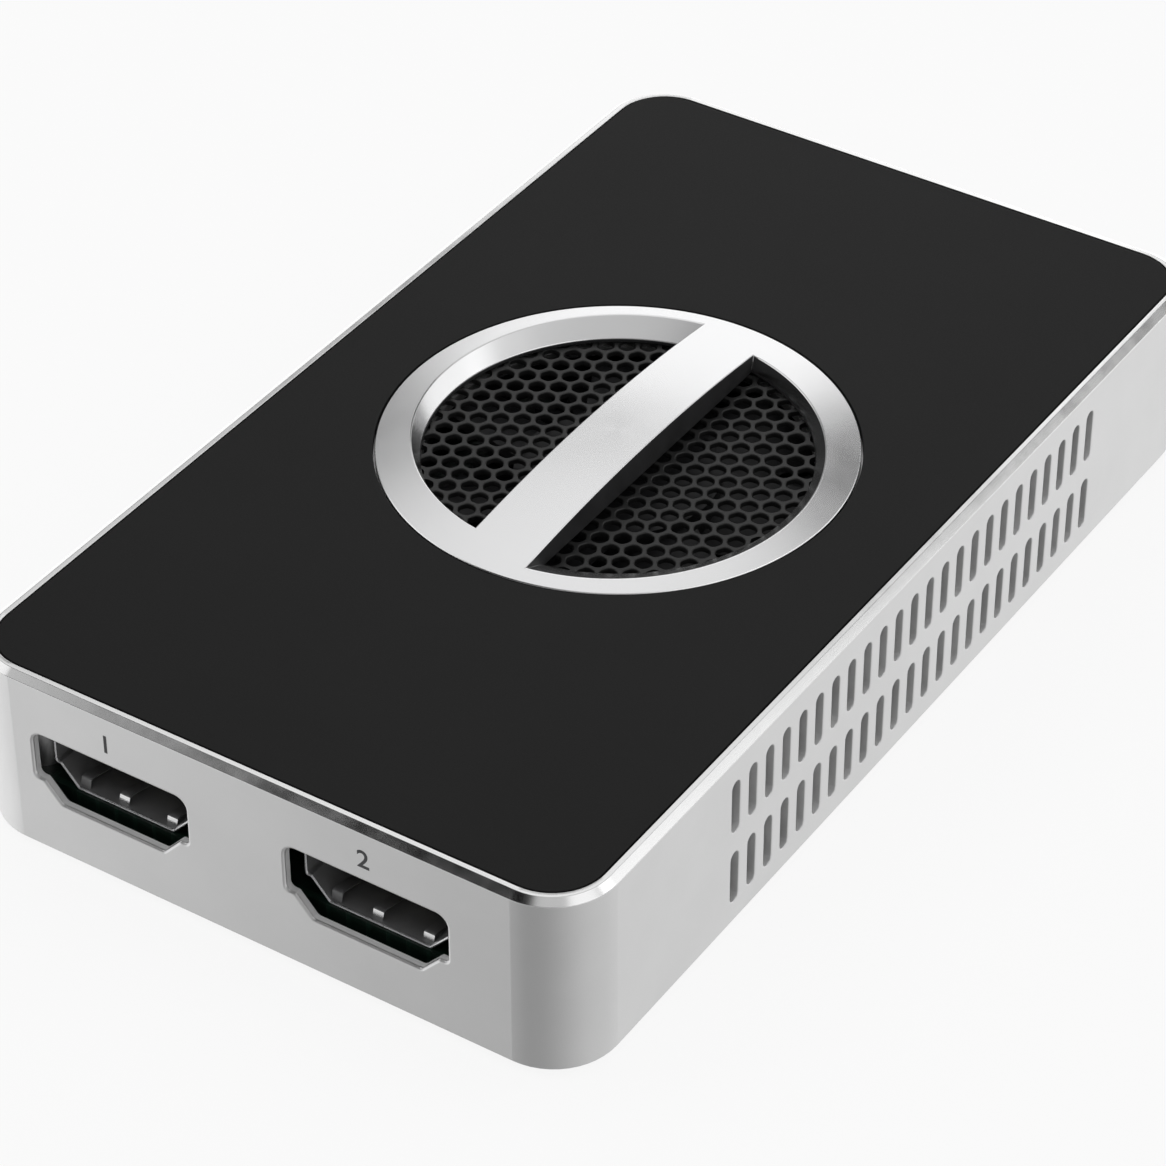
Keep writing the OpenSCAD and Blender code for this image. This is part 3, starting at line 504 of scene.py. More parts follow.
def turned_metal(name, colour):
    """Turned metal: fine rings about the object's own axis, which stretch its highlights across them."""
    material, tree, shader = blank(name, Metallic=1.0, Anisotropic=0.2)
    place = object_place(tree)
    rings = put(tree, "ShaderNodeTexWave", {"Vector": place, "Scale": 5200.0, "Distortion": 0.6,
                                            "Detail": 2.0, "Detail Scale": 1.5},
                "Fac", wave_type="RINGS", rings_direction="Z")
    cloud = noise(tree, place, 260.0, 4.0)
    lay_on(tree, shader, tones(tree, cloud, colour, 0.985, 1.01), span(tree, cloud, 0.225, 0.255),
           relief(tree, rings, 0.0001))
    around = put(tree, "ShaderNodeTangent", direction_type="RADIAL", axis="Z")
    tree.links.new(around, shader.inputs["Tangent"])
    return material


def matte_coat(name, colour):
    """Matte black coat with a fine even tooth."""
    material, tree, shader = blank(name, Specular_IOR_Level=0.185)
    place = object_place(tree)
    tooth = noise(tree, place, 7000.0)
    lay_on(tree, shader, tones(tree, noise(tree, place, 60.0, 5.0), colour, 0.94, 1.06),
           span(tree, tooth, 0.52, 0.62), relief(tree, tooth, 0.004))
    return material


def circuit_board(name):
    """Solder mask over glass cloth, with traces that run along the board."""
    material, tree, shader = blank(name, Specular_IOR_Level=0.5, Coat_Weight=0.3)
    traces = put(tree, "ShaderNodeTexBrick", {
        "Vector": object_place(tree), "Scale": 260.0, "Mortar Size": 0.05, "Color1": (0.003, 0.01, 0.006, 1),
        "Color2": (0.004, 0.012, 0.008, 1), "Mortar": (0.006, 0.02, 0.013, 1)})
    cloth = noise(tree, object_place(tree, (1, 6, 1)), 1800.0, 2.0)
    seams = traces.node.outputs["Fac"]
    lay_on(tree, shader, traces, span(tree, cloth, 0.3, 0.42), relief(tree, seams, 0.02))
    return material


def make_finishes(colours):
    """All finishes, by the record's material slots, with a few for parts of pieces."""
    black = (0.016, 0.016, 0.017)
    dark, tall = {"tone": 0.2}, {"stretch": (1, 1, 5)}
    # Colour, metallic, roughness, grains to the metre, their depth in millimetres, and other settings
    grains = {
        "milled_wall": (shade(colours.aluminium, 0.95), 0.4, 0.5, 3000, 0.004, tall),
        "cut_wall": ((0.8, 0.8, 0.8), 0.15, 0.42, 3000, 0.004, {"tone": 0.04, **tall}),
        # Near-black for the bare aluminium of the pockets behind the front cut-outs: painted shade
        "pocket_painted_shade": ((0.008, 0.008, 0.008), 0.0, 0.7, 4000, 0.01, dark),
        "ring_wall": ((0.03, 0.03, 0.031), 0.0, 0.5, 5000, 0.006, dark),
        "mesh_black": (colours.honeycomb, 0.0, 0.36, 6000, 0.004, {"Specular_IOR_Level": 0.36, **dark}),
        "foot_rubber": (colours.rubber, 0.0, 0.75, 4000, 0.02, {"Specular_IOR_Level": 0.3, "tone": 0.15}),
        "pad_grey": ((0.35, 0.38, 0.42), 0.0, 0.8, 3000, 0.03, {}),
        "lead_black": (black, 0.0, 0.5, 2500, 0.01, dark),
        "screw_steel": ((0.42, 0.42, 0.43), 1.0, 0.32, 5000, 0.003, {"patch": 900}),
        "socket_steel": ((0.62, 0.62, 0.63), 1.0, 0.28, 2500, 0.002, {"patch": 500, "stretch": (1, 8, 1)}),
        # Brighter steel given only to the springs' fronts: a painted glint
        "spring_painted_glint": ((0.95, 0.95, 0.95), 1.0, 0.12, 2500, 0.001, {"patch": 500, "tone": 0.04}),
        # Darkened steel for the inside of the front sockets and the springs' other faces: painted shade
        "socket_painted_shade": ((0.23, 0.23, 0.232), 0.3, 0.4, 2500, 0.003, {"patch": 500}),
        "stator_steel": ((0.4, 0.4, 0.41), 1.0, 0.4, 900, 0.02, {"stretch": (1, 1, 12)}),
        "brass": ((0.74, 0.56, 0.27), 1.0, 0.3, 3500, 0.003, {"stretch": (1, 1, 6)}),
        "copper": ((0.6, 0.26, 0.11), 1.0, 0.35, 900, 0.05, {"stretch": (5, 5, 1)}),
        "contact_gold": ((0.83, 0.62, 0.26), 1.0, 0.24, 3000, 0.001, {"stretch": (1, 6, 1)}),
        "can_aluminium": ((0.68, 0.69, 0.7), 1.0, 0.3, 2500, 0.003, {"stretch": (1, 1, 7)}),
        "sink_aluminium": ((0.07, 0.072, 0.078), 0.8, 0.45, 4000, 0.004, {}),
        "socket_black": (black, 0.0, 0.45, 3500, 0.01, dark),
        "socket_blue": ((0.02, 0.1, 0.42), 0.0, 0.42, 3500, 0.01, {}),
        "chip_black": ((0.02, 0.02, 0.021), 0.0, 0.55, 5000, 0.01, dark),
        "ferrite": ((0.06, 0.06, 0.062), 0.2, 0.6, 2500, 0.03, dark),
        "fan_black": ((0.014, 0.014, 0.015), 0.0, 0.45, 3000, 0.008, dark),
        "plug_white": ((0.72, 0.69, 0.6), 0.0, 0.45, 3500, 0.008, {"tone": 0.05}),
        "ink": (colours.ink, 0.0, 0.6, 6000, 0.003, {"tone": 0.15}),
    }
    made = {name: grained(name, *values, **other) for name, (*values, other) in grains.items()}
    cover = shade(colours.aluminium, 0.9)
    for name, recipe, *values in (("case_aluminium", blasted_aluminium, colours.aluminium, 0.4),
                                  ("cover_aluminium", blasted_aluminium, cover, 0.46),
                                  ("bright_cut", bright_cut, colours.cut),
                                  ("panel_black", matte_coat, colours.panel),
                                  ("ring_metal", turned_metal, colours.ring),
                                  ("board_green", circuit_board)):
        made[name] = recipe(name, *values)
    return made


FINISHES = {}


def finish(*names):
    """The named finishes, which are made once from the scene's colours."""
    if not FINISHES:
        FINISHES.update(make_finishes(bpy.context.scene.capture_box.colours))
    return [FINISHES[name] for name in names]


def dress(nodes, edge=0.0):
    """Gives CAD nodes the finishes of their slots, and softens their edges."""
    slots = {part["node"]: part["material_slot"] for part in frame["record"]["subparts"]}
    for name in nodes:
        node = frame["nodes"][name]
        if not node.material_slots:
            node.data.materials.append(None)
        for place in node.material_slots:
            place.material = finish(slots[name])[0]
        if edge:
            soften(node, edge, 40)
            weigh_normals(node)


# Operators: one for each piece or group of like pieces

class CAPTUREBOX_OT_case(bpy.types.Operator):
    """Build the aluminium case with its chamfer, slots, cut-outs, deck and screw bosses"""
    bl_idname = "capturebox.case"
    bl_label = "Case"
    # Finishes of the case's faces; the pocket's is near-black, a painted shade
    PLAIN, BRIGHT, MILLED, CUT, POCKET = range(5)
    REAR_EDGE = 0.12 * MM
    HOST_GAP, HOST_CORNER = 0.6 * MM, 0.4 * MM
    RIM_EDGE = 0.05 * MM
    SEAT_GAP = 0.1 * MM
    BOSS_RADIUS, RIB_HALF, RIB_START = 2.8 * MM, 0.8 * MM, 2.66 * MM
    PILOT_RADIUS, PILOT_DEPTH = 1.03 * MM, 3 * MM
    # The bosses stop at the board, a lift above the jacks' lowest point, and a hair away from deck and walls
    BOSS_LIFT, BOSS_GAP = 0.2 * MM, 0.01 * MM

    def execute(self, context):
        settings = context.scene.capture_box
        self.sizes = settings.case
        self.skin = Skin()
        holes = self.vents(settings.vents) + self.cut_outs(settings.sockets)
        outer, inner = self.walls(holes, settings.sockets.pocket)
        self.deck(self.top(outer), inner, settings.grille)
        self.bosses()
        made = self.skin.piece("case_shell", "case", "case_aluminium", finish(
            "case_aluminium", "bright_cut", "milled_wall", "cut_wall", "pocket_painted_shade"))
        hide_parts("housing")
        return {"FINISHED"}

    def case_ring(self, inset, z):
        """The case's outline at a height, a distance inside its sides."""
        size = CASE_HIGH - CASE_LOW
        outline = round_rect(size.x - 2 * inset, size.y - 2 * inset, self.sizes.corner - inset)
        return self.skin.level(outline, z)

    def wall_ring(self, side, outline, depth):
        """An outline on a wall, at a depth below its face."""
        normal, along = WALLS[side]
        face = abs(normal.dot(CASE_HIGH)) - depth
        return self.skin.ring([tuple(normal * face + along * u + Vector((0, 0, z))) for u, z in outline])

    # A hole has its wall, the rounding of its edge, its depth, the finishes of edge and wall, and a function
    # that gives its outline at a distance inside

    def vents(self, sizes):
        holes = []
        for side, way in ((RIGHT, 1), (LEFT, -1)):
            for row in range(2):
                z = RIM_Z - sizes.drop - row * sizes.row_gap
                for i in range(sizes.count):
                    u = way * (FAN_Y + (i - (sizes.count - 1) / 2) * sizes.pitch)
                    holes.append((side, sizes.edge, self.sizes.wall, (self.PLAIN, self.MILLED),
                                  lambda d, at=(u, z): slot(at, sizes.width - 2 * d, sizes.height - 2 * d)))
        return holes

    def cut_outs(self, sizes):
        port_z = (SHELL_HIGH.z + sizes.gap) - sizes.height / 2
        holes = []
        for x in (INPUT_X, LOOP_X):
            holes.append((FRONT, sizes.edge, sizes.lip, (self.PLAIN, self.CUT), lambda d, x=x: [
                (x + u, port_z + z) for u, z in socket_outline(sizes, d)]))
        through = (REAR, self.REAR_EDGE, self.sizes.wall, (self.PLAIN, self.MILLED))
        host, size = (HOST_LOW + HOST_HIGH) / 2, HOST_HIGH - HOST_LOW
        wide, high = size.x + 2 * self.HOST_GAP, size.z + 2 * self.HOST_GAP
        holes.append((*through, lambda d: round_rect(wide - 2 * d, high - 2 * d, self.HOST_CORNER - d,
                                                     (-host.x, host.z), 5)))
        for jack in (JACK_LOW + JACK_HIGH, OUTER_JACK_LOW + OUTER_JACK_HIGH):
            at = (-jack.x / 2, jack.z / 2)
            holes.append((*through, lambda d, at=at: circle(at, sizes.jack_hole - d, 48)))
        return holes

    def hole(self, side, edge, depth, finishes, outline, pocket):
        """A hole's edge and wall, and the pocket behind it where it is shallow: its outer and inner ring."""
        rings = [self.wall_ring(side, outline(along), below) for along, below in round_over(edge)]
        inside = self.wall_ring(side, outline(0), depth)
        self.skin.stack(rings, finishes[0])
        self.skin.band(rings[-1], inside, finishes[1])
        if depth < self.sizes.wall:
            steps = [self.wall_ring(side, outline(-pocket), below) for below in (depth, self.sizes.wall)]
            # The pocket's faces take the near-black finish that paints the shade in it
            self.skin.stack([inside] + steps, self.POCKET)
            inside = steps[-1]
        return rings[0], inside

    def walls(self, holes, pocket):
        """The walls' two faces with their holes, and the lower edge: the upper rings of both faces."""
        skin, sizes = self.skin, self.sizes
        low = [self.case_ring(-along, CASE_LOW.z + below) for along, below in round_over(sizes.edge)]
        high = self.case_ring(0, RIM_Z - sizes.chamfer_height - sizes.chamfer_edge)
        room_low = self.case_ring(sizes.wall, CASE_LOW.z)
        room_high = self.case_ring(sizes.wall, DECK_Z - sizes.deck)
        skin.stack(low)
        skin.band(low[0], room_low)
        count = CORNER_STEPS + 1
        for lower, upper in ((low[-1], high), (room_low, room_high)):
            for corner in range(4):
                part = slice(corner * count, (corner + 1) * count)
                skin.band(lower[part], upper[part], closed=False)
        for side, (normal, _along) in enumerate(WALLS):
            rings = [self.hole(*hole, pocket) for hole in holes if hole[0] == side]
            first, last = (side + 1) * count - 1, (side + 1) * count % (4 * count)
            for lower, upper, way, end in ((low[-1], high, normal, 0), (room_low, room_high, -normal, 1)):
                border = [lower[first], lower[last], upper[last], upper[first]]
                skin.fill([border] + [pair[end] for pair in rings], way)
        return high, room_high

    def top(self, outer):
        """The bright chamfer, the flat rim and the step down to the panel's seat, whose ring is returned."""
        sizes = self.sizes
        width, height, soft = sizes.chamfer_width, sizes.chamfer_height, sizes.chamfer_edge
        recess = width + sizes.rim
        slope = Vector((width, height)).normalized() * soft
        profile = (bend((0, -height - soft), (0, -height), (slope.x, slope.y - height))[1:]
                   + bend((width - slope.x, -slope.y), (width, 0), (width + soft, 0)))
        chamfer = [self.case_ring(inset, RIM_Z + z) for inset, z in profile]
        rim = [self.case_ring(recess + along, RIM_Z - below) for along, below in round_over(self.RIM_EDGE)]
        self.skin.stack([outer] + chamfer + rim, self.BRIGHT)
        seat = self.case_ring(recess, DECK_Z)
        self.skin.band(rim[-1], seat)
        return seat

    def deck(self, panel_seat, room_high, grille):
        """The deck under the panel, with the stepped seat of the honeycomb."""
        seat = MESH_RADIUS + self.SEAT_GAP
        under = DECK_Z - self.sizes.deck
        levels = ((seat, DECK_Z), (seat, MESH_LOW.z), (grille.mouth, MESH_LOW.z), (grille.mouth, under))
        rings = [self.skin.level(circle((0, FAN_Y), radius, 96), z) for radius, z in levels]
        self.skin.stack(rings)
        self.skin.fill([panel_seat, rings[0]], UP)
        self.skin.fill([room_high, rings[-1]], DOWN)

    def bosses(self):
        """Screw bosses under the deck, each with a rib to both of its walls."""
        under = DECK_Z - self.sizes.deck - self.BOSS_GAP
        foot = JACK_LOW.z + self.BOSS_LIFT
        inset, half = self.sizes.screw_inset, self.RIB_HALF
        near, far = self.RIB_START, inset - self.sizes.wall - self.BOSS_GAP
        profile = ((self.PILOT_RADIUS, foot + self.PILOT_DEPTH), (self.PILOT_RADIUS, foot),
                   (self.BOSS_RADIUS, foot), (self.BOSS_RADIUS, under))
        for i, j in QUARTERS:
            x, y = i * (CASE_HIGH.x - inset), j * (CASE_HIGH.y - inset)
            self.skin.lathe(profile, (x, y), 32)
            for across, along in (((near, far), (-half, half)), ((-half, half), (near, far))):
                x0, x1 = sorted(x + i * reach for reach in across)
                y0, y1 = sorted(y + j * reach for reach in along)
                self.skin.box((x0, y0, foot), (x1, y1, under))


class CAPTUREBOX_OT_panel(bpy.types.Operator):
    """Build the matte black panel with its round opening"""
    bl_idname = "capturebox.panel"
    bl_label = "Top panel"
    RING_GAP = 0.15 * MM

    def execute(self, context):
        sizes = context.scene.capture_box.case
        skin = Skin()
        corner = sizes.corner - (CASE_HIGH.x - PANEL_HIGH.x)
        opening = RING_RADIUS + self.RING_GAP
        outer = skin.plate(PANEL_LOW, PANEL_HIGH, corner, sizes.panel_edge, PANEL_HIGH.z, -1)
        inner = [skin.level(circle((0, FAN_Y), opening - along, 128), PANEL_HIGH.z - below)
                 for along, below in round_over(sizes.panel_edge) + [(0, PANEL_HIGH.z - PANEL_LOW.z)]]
        skin.stack(outer)
        skin.stack(inner)
        skin.fill([outer[0], inner[0]], UP)
        skin.fill([outer[-1], inner[-1]], DOWN)
        made = skin.piece("panel_plate", "case", "panel_black", finish("panel_black"))
        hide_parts("top_panel")
        return {"FINISHED"}


class CAPTUREBOX_OT_ring(bpy.types.Operator):
    """Build the domed trim ring with its bar and its two slanted bevels"""
    bl_idname = "capturebox.ring"
    bl_label = "Trim ring"
    METAL, WALL = range(2)
    ARC_STEPS = 72
    BAR_COLUMNS = 10
    BAR_ROWS = 24
    DOME_STEPS = 4
    SHARP = 24.0

    def execute(self, context):
        self.sizes = context.scene.capture_box.grille
        self.rise = RING_HIGH.z - RIM_Z
        self.dome_radius = (RING_RADIUS ** 2 + self.rise ** 2) / (2 * self.rise)
        self.bevel_low = RING_LOW.z + self.sizes.land
        self.bevel_high = RIM_Z + self.rise * (1 - (self.sizes.bevel / RING_RADIUS) ** 2)
        self.skin = Skin()
        self.round_about(*self.bar(self.mouth(1), self.mouth(-1)))
        made = self.skin.piece("trim_ring", "case", "ring_metal", finish("ring_metal", "ring_wall"),
                               self.SHARP, (0, FAN_Y, RIM_Z))
        soften(made, self.sizes.edge, self.SHARP)
        made.modifiers.move(1, 0)
        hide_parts("grille_ring")
        return {"FINISHED"}

    def dome(self, x, y):
        return RIM_Z + self.rise - self.dome_radius + math.sqrt(self.dome_radius ** 2 - x * x - y * y)

    def bevel_point(self, side, share, level):
        """A point of the slanted bevel: share runs along its arc, level from its foot up."""
        radius = self.sizes.mouth + level * (self.sizes.bevel - self.sizes.mouth)
        turn = math.acos(self.sizes.bar / 2 / radius) * (2 * share - 1)
        x = side * radius * math.cos(turn)
        y = radius * math.sin(turn) - side * self.sizes.shift * level
        return x, y, self.bevel_low + level * (self.bevel_high - self.bevel_low)

    def bevel_top(self, side, share):
        """The level at which the bevel meets the dome, found by a few rounds of nearing it."""
        level = 1.0
        for _round in range(12):
            x, y, _z = self.bevel_point(side, share, level)
            level = (self.dome(x, y) - self.bevel_low) / (self.bevel_high - self.bevel_low)
        return level

    def mouth(self, side):
        """Land and bevel of one half: rings of points from the honeycomb up to the dome."""
        shares = [i / self.ARC_STEPS for i in range(self.ARC_STEPS + 1)]
        tops = [self.bevel_top(side, share) for share in shares]
        rows = [[self.bevel_point(side, share, part * top) for share, top in zip(shares, tops)]
                for part in (0.0, 0.5, 1.0)]
        foot = [(x, y, RING_LOW.z) for x, y, _z in rows[0]]
        rings = [self.skin.ring([(x, y + FAN_Y, z) for x, y, z in row]) for row in [foot] + rows]
        for low, high, material in zip(rings, rings[1:], (self.WALL, self.METAL, self.METAL)):
            self.skin.band(low, high, material, closed=False)
        return rings

    def bar_row(self, right, left, level, row, flat):
        """Vertices across the bar, from its left edge to its right one, on the dome or at a flat height."""
        share = row / self.BAR_ROWS
        start, end = (rings[level][0].co.lerp(rings[level][-1].co, share) for rings in (left, right))
        made = []
        for column in range(self.BAR_COLUMNS + 1):
            at = start.lerp(end, column / self.BAR_COLUMNS)
            if row in (0, self.BAR_ROWS) and column in (0, self.BAR_COLUMNS):
                made.append((right if column else left)[level][-1 if row else 0])
            else:
                z = self.dome(at.x, at.y - FAN_Y) if flat is None else flat
                made.append(self.skin.mesh.verts.new((at.x, at.y, z)))
        return made

    def bar(self, right, left):
        """The bar between the mouths: the loops around bar and mouths, on the dome and at the foot."""
        skin = self.skin
        top_level, last = len(right) - 1, self.BAR_ROWS
        grids = {}
        for level, flat in ((top_level, None), (0, RING_LOW.z)):
            rows = [self.bar_row(right, left, level, row, flat) for row in range(last + 1)]
            for low, high in zip(rows, rows[1:]):
                skin.band(low, high, closed=False)
            grids[level] = rows
        for rings, column in ((left, 0), (right, self.BAR_COLUMNS)):
            lines = [[row[column] for row in grids[0]]]
            for level in range(1, top_level):
                start, end = rings[level][0], rings[level][-1]
                middle = [skin.mesh.verts.new(start.co.lerp(end.co, row / last)) for row in range(1, last)]
                lines.append([start] + middle + [end])
            lines.append([row[column] for row in grids[top_level]])
            for low, high in zip(lines, lines[1:]):
                skin.band(low, high, self.WALL, closed=False)
        return [right[level] + grids[level][last][::-1][1:-1] + left[level][::-1] + grids[level][0][1:-1]
                for level in (top_level, 0)]

    def round_about(self, top, foot):
        """The dome outside the mouths, the ring's outer side, its flange and its spigot."""
        skin = self.skin
        turns = [math.atan2(vert.co.y - FAN_Y, vert.co.x) for vert in top]
        rings = [top]
        for step in range(1, self.DOME_STEPS + 1):
            points = []
            for vert, turn in zip(top, turns):
                start = math.hypot(vert.co.x, vert.co.y - FAN_Y)
                radius = start + (RING_RADIUS - start) * step / self.DOME_STEPS
                x, y = radius * math.cos(turn), radius * math.sin(turn)
                points.append((x, y + FAN_Y, self.dome(x, y)))
            rings.append(skin.ring(points))
        for radius, z in ((RING_RADIUS, DECK_Z), (MESH_RADIUS, DECK_Z), (MESH_RADIUS, RING_LOW.z)):
            rings.append(skin.level([(radius * math.cos(t), FAN_Y + radius * math.sin(t)) for t in turns], z))
        skin.stack(rings + [foot])


class CAPTUREBOX_OT_honeycomb(bpy.types.Operator):
    """Build the honeycomb disc with rounded webs"""
    bl_idname = "capturebox.honeycomb"
    bl_label = "Honeycomb"

    def execute(self, context):
        self.sizes = sizes = context.scene.capture_box.grille
        self.skin = skin = Skin()
        self.radius = (sizes.pitch - sizes.web) / math.sqrt(3)
        column = sizes.pitch * math.sin(math.radians(60))
        reach = MESH_RADIUS - sizes.web / 2
        columns, rows = int(reach / column), math.ceil(reach / sizes.pitch)
        cells = []
        for i in range(-columns, columns + 1):
            for j in range(-rows, rows + 1):
                x, y = i * column, (j + (0 if i % 2 == 0 else 0.5)) * sizes.pitch
                under_bar = abs(x) + self.radius < sizes.bar / 2
                if math.hypot(x, y) <= sizes.mouth + self.radius and not under_bar:
                    cells.append(self.cell((x, y), reach))
        rims = [skin.level(circle((0, FAN_Y), MESH_RADIUS, 96), z) for z in (MESH_HIGH.z, MESH_LOW.z)]
        skin.stack(rims)
        skin.fill([rims[0]] + [rings[0] for rings in cells], UP)
        skin.fill([rims[1]] + [rings[-1] for rings in cells], DOWN)
        made = skin.piece("honeycomb_disc", "case", "mesh_black", finish("mesh_black"), 50.0)
        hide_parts("grille_mesh")
        return {"FINISHED"}

    def cell(self, centre, reach):
        """Rings of a hexagon from the top down. Near the disc's edge it is cut and has no rounded edge."""
        sizes = self.sizes
        whole = math.hypot(*centre) < MESH_RADIUS - sizes.web - self.radius
        rings = []
        edges = round_over(sizes.web_edge, 2) if whole else [(0, 0)]
        for along, below in edges + [(0, MESH_HIGH.z - MESH_LOW.z)]:
            corners = circle(centre, self.radius - along * 2 / math.sqrt(3), 6)
            outline = rounded([corner + (sizes.cell_corner - along,) for corner in corners], 2)
            if not whole:
                outline = cut_by_circle(outline, reach)
            rings.append(self.skin.level([(x, y + FAN_Y) for x, y in outline], MESH_HIGH.z - below))
        self.skin.stack(rings)
        return rings


class CAPTUREBOX_OT_front_sockets(bpy.types.Operator):
    """Build the steel shells of the two front sockets, and dress what is inside them"""
    bl_idname = "capturebox.front_sockets"
    bl_label = "Front sockets"
    # Finishes: the shell's steel, a darkened steel that paints the shade inside the socket, and a brighter
    # steel that paints a glint on the springs' fronts
    STEEL, DARK, BRIGHT = range(3)
    LIP_STEPS = 6
    # Spring leaves: shares of their pitch, then one leaf's way inward and up from its start, in millimetres
    SPRING_PLACES = (-1, -0.1, 1)
    SPRING_PROFILE = ((0, -0.02), (0.22, 0.73), (0.23, 0.76), (0.34, 0.81), (0.6, 0.83), (1.2, 0.68),
                      (3.2, 0.12), (4.2, -0.02))
    SPRING_START, SPRING_HALF = 0.35 * MM, 0.5 * MM
    SPRING_BACK, SPRING_THICK = 0.06 * MM, 0.12 * MM
    LEG_PLACES = (3.0 * MM, 8.5 * MM)
    LEG_HALF, LEG_THICK, LEG_SUNK, LEG_DROP = 0.7 * MM, 0.3 * MM, 0.02 * MM, 2.7 * MM

    def execute(self, context):
        sizes = context.scene.capture_box.sockets
        for name, node, x in (("input_socket", "video_in_shell", INPUT_X),
                              ("loop_socket", "video_loop_shell", LOOP_X)):
            skin = Skin()
            self.sheet(skin, sizes, x)
            self.springs(skin, sizes, x)
            self.legs(skin, sizes, x)
            made = skin.piece(name, "case", "socket_steel",
                              finish("socket_steel", "socket_painted_shade", "spring_painted_glint"), 50.0)
            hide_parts(node)
        dress(("video_in_insulator", "video_loop_insulator"), 0.1 * MM)
        dress(("video_in_contacts", "video_loop_contacts"))
        return {"FINISHED"}

    def sheet(self, skin, sizes, x):
        """The bent sheet, with a rounded bright lip and an inside in darkened steel, which paints the shade
        within the socket.
        """
        z = SHELL_HIGH.z + sizes.gap - sizes.height / 2
        half = sizes.sheet / 2
        turns = [math.radians(180 * i / self.LIP_STEPS) for i in range(self.LIP_STEPS + 1)]
        lip = [(sizes.gap + half * (1 - math.cos(a)), SHELL_LOW.y + half * (1 - math.sin(a))) for a in turns]
        rows = [(sizes.gap, SHELL_HIGH.y)] + lip + [(sizes.gap + sizes.sheet, SHELL_HIGH.y)]
        rings = [skin.ring([(x + u, y, z + v) for u, v in socket_outline(sizes, inside)])
                 for inside, y in rows]
        skin.stack(rings[:-1])
        skin.band(rings[-2], rings[-1], self.DARK)
        skin.band(rings[-1], rings[0])

    def springs(self, skin, sizes, x):
        """Spring leaves that rise from the shell's floor towards the plug. Their fronts are in a brighter
        steel that paints a glint, except the first's dull front, which paints shade like the other faces of
        every leaf.
        """
        low = SHELL_HIGH.z - sizes.height + 2 * sizes.gap + sizes.sheet
        start, half = SHELL_LOW.y + self.SPRING_START, self.SPRING_HALF
        for place in self.SPRING_PLACES:
            sides = [x + place * sizes.spring_pitch + way * half for way in (-1, 1)]
            rings = []
            for along, up in self.SPRING_PROFILE:
                y, z = start + along * MM, low + up * MM
                under = (y + self.SPRING_BACK, z - self.SPRING_THICK)
                rings.append(skin.ring([(sides[0], y, z), (sides[1], y, z), (sides[1], *under),
                                        (sides[0], *under)]))
            # The front of each leaf paints a glint, except the first's, which paints shade, as does the rest
            # of every leaf
            skin.band(rings[0], rings[1], self.DARK if place == self.SPRING_PLACES[0] else self.BRIGHT)
            skin.stack(rings[1:], self.DARK)
            skin.face(rings[0], self.DARK)
            skin.face(rings[-1], self.DARK)

    def legs(self, skin, sizes, x):
        """Four legs that pass through the board."""
        side = sizes.width / 2 - sizes.gap
        for way in (-1, 1):
            x0, x1 = sorted(x + way * (side + reach) for reach in (-self.LEG_SUNK, self.LEG_THICK))
            for along in self.LEG_PLACES:
                y = SHELL_LOW.y + along
                skin.box((x0, y - self.LEG_HALF, SHELL_LOW.z),
                         (x1, y + self.LEG_HALF, SHELL_HIGH.z - self.LEG_DROP))


class CAPTUREBOX_OT_numbers(bpy.types.Operator):
    """Print a plain number over each front socket"""
    bl_idname = "capturebox.numbers"
    bl_label = "Socket numbers"
    FIGURE_SHARE = 0.7
    INK_THICK, INK_SPREAD, INK_OUT = 0.006 * MM, 0.03 * MM, 0.004 * MM
    DROP = 3.95 * MM

    def execute(self, context):
        sizes = context.scene.capture_box.sockets
        for text, x in (("1", INPUT_X), ("2", LOOP_X)):
            lines = bpy.data.curves.new("socket_number_" + text, "FONT")
            lines.body = text
            lines.size = sizes.number / self.FIGURE_SHARE
            lines.align_x = "CENTER"
            lines.extrude = self.INK_THICK
            lines.offset = self.INK_SPREAD
            lines.materials.append(finish("ink")[0])
            made = bpy.data.objects.new("socket_number_" + text, lines)
            made.rotation_euler = (math.radians(90), 0, 0)
            made.location = (x, CASE_LOW.y - self.INK_OUT, RIM_Z - self.DROP)
            context.scene.collection.objects.link(made)
            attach(made, "case")
        return {"FINISHED"}


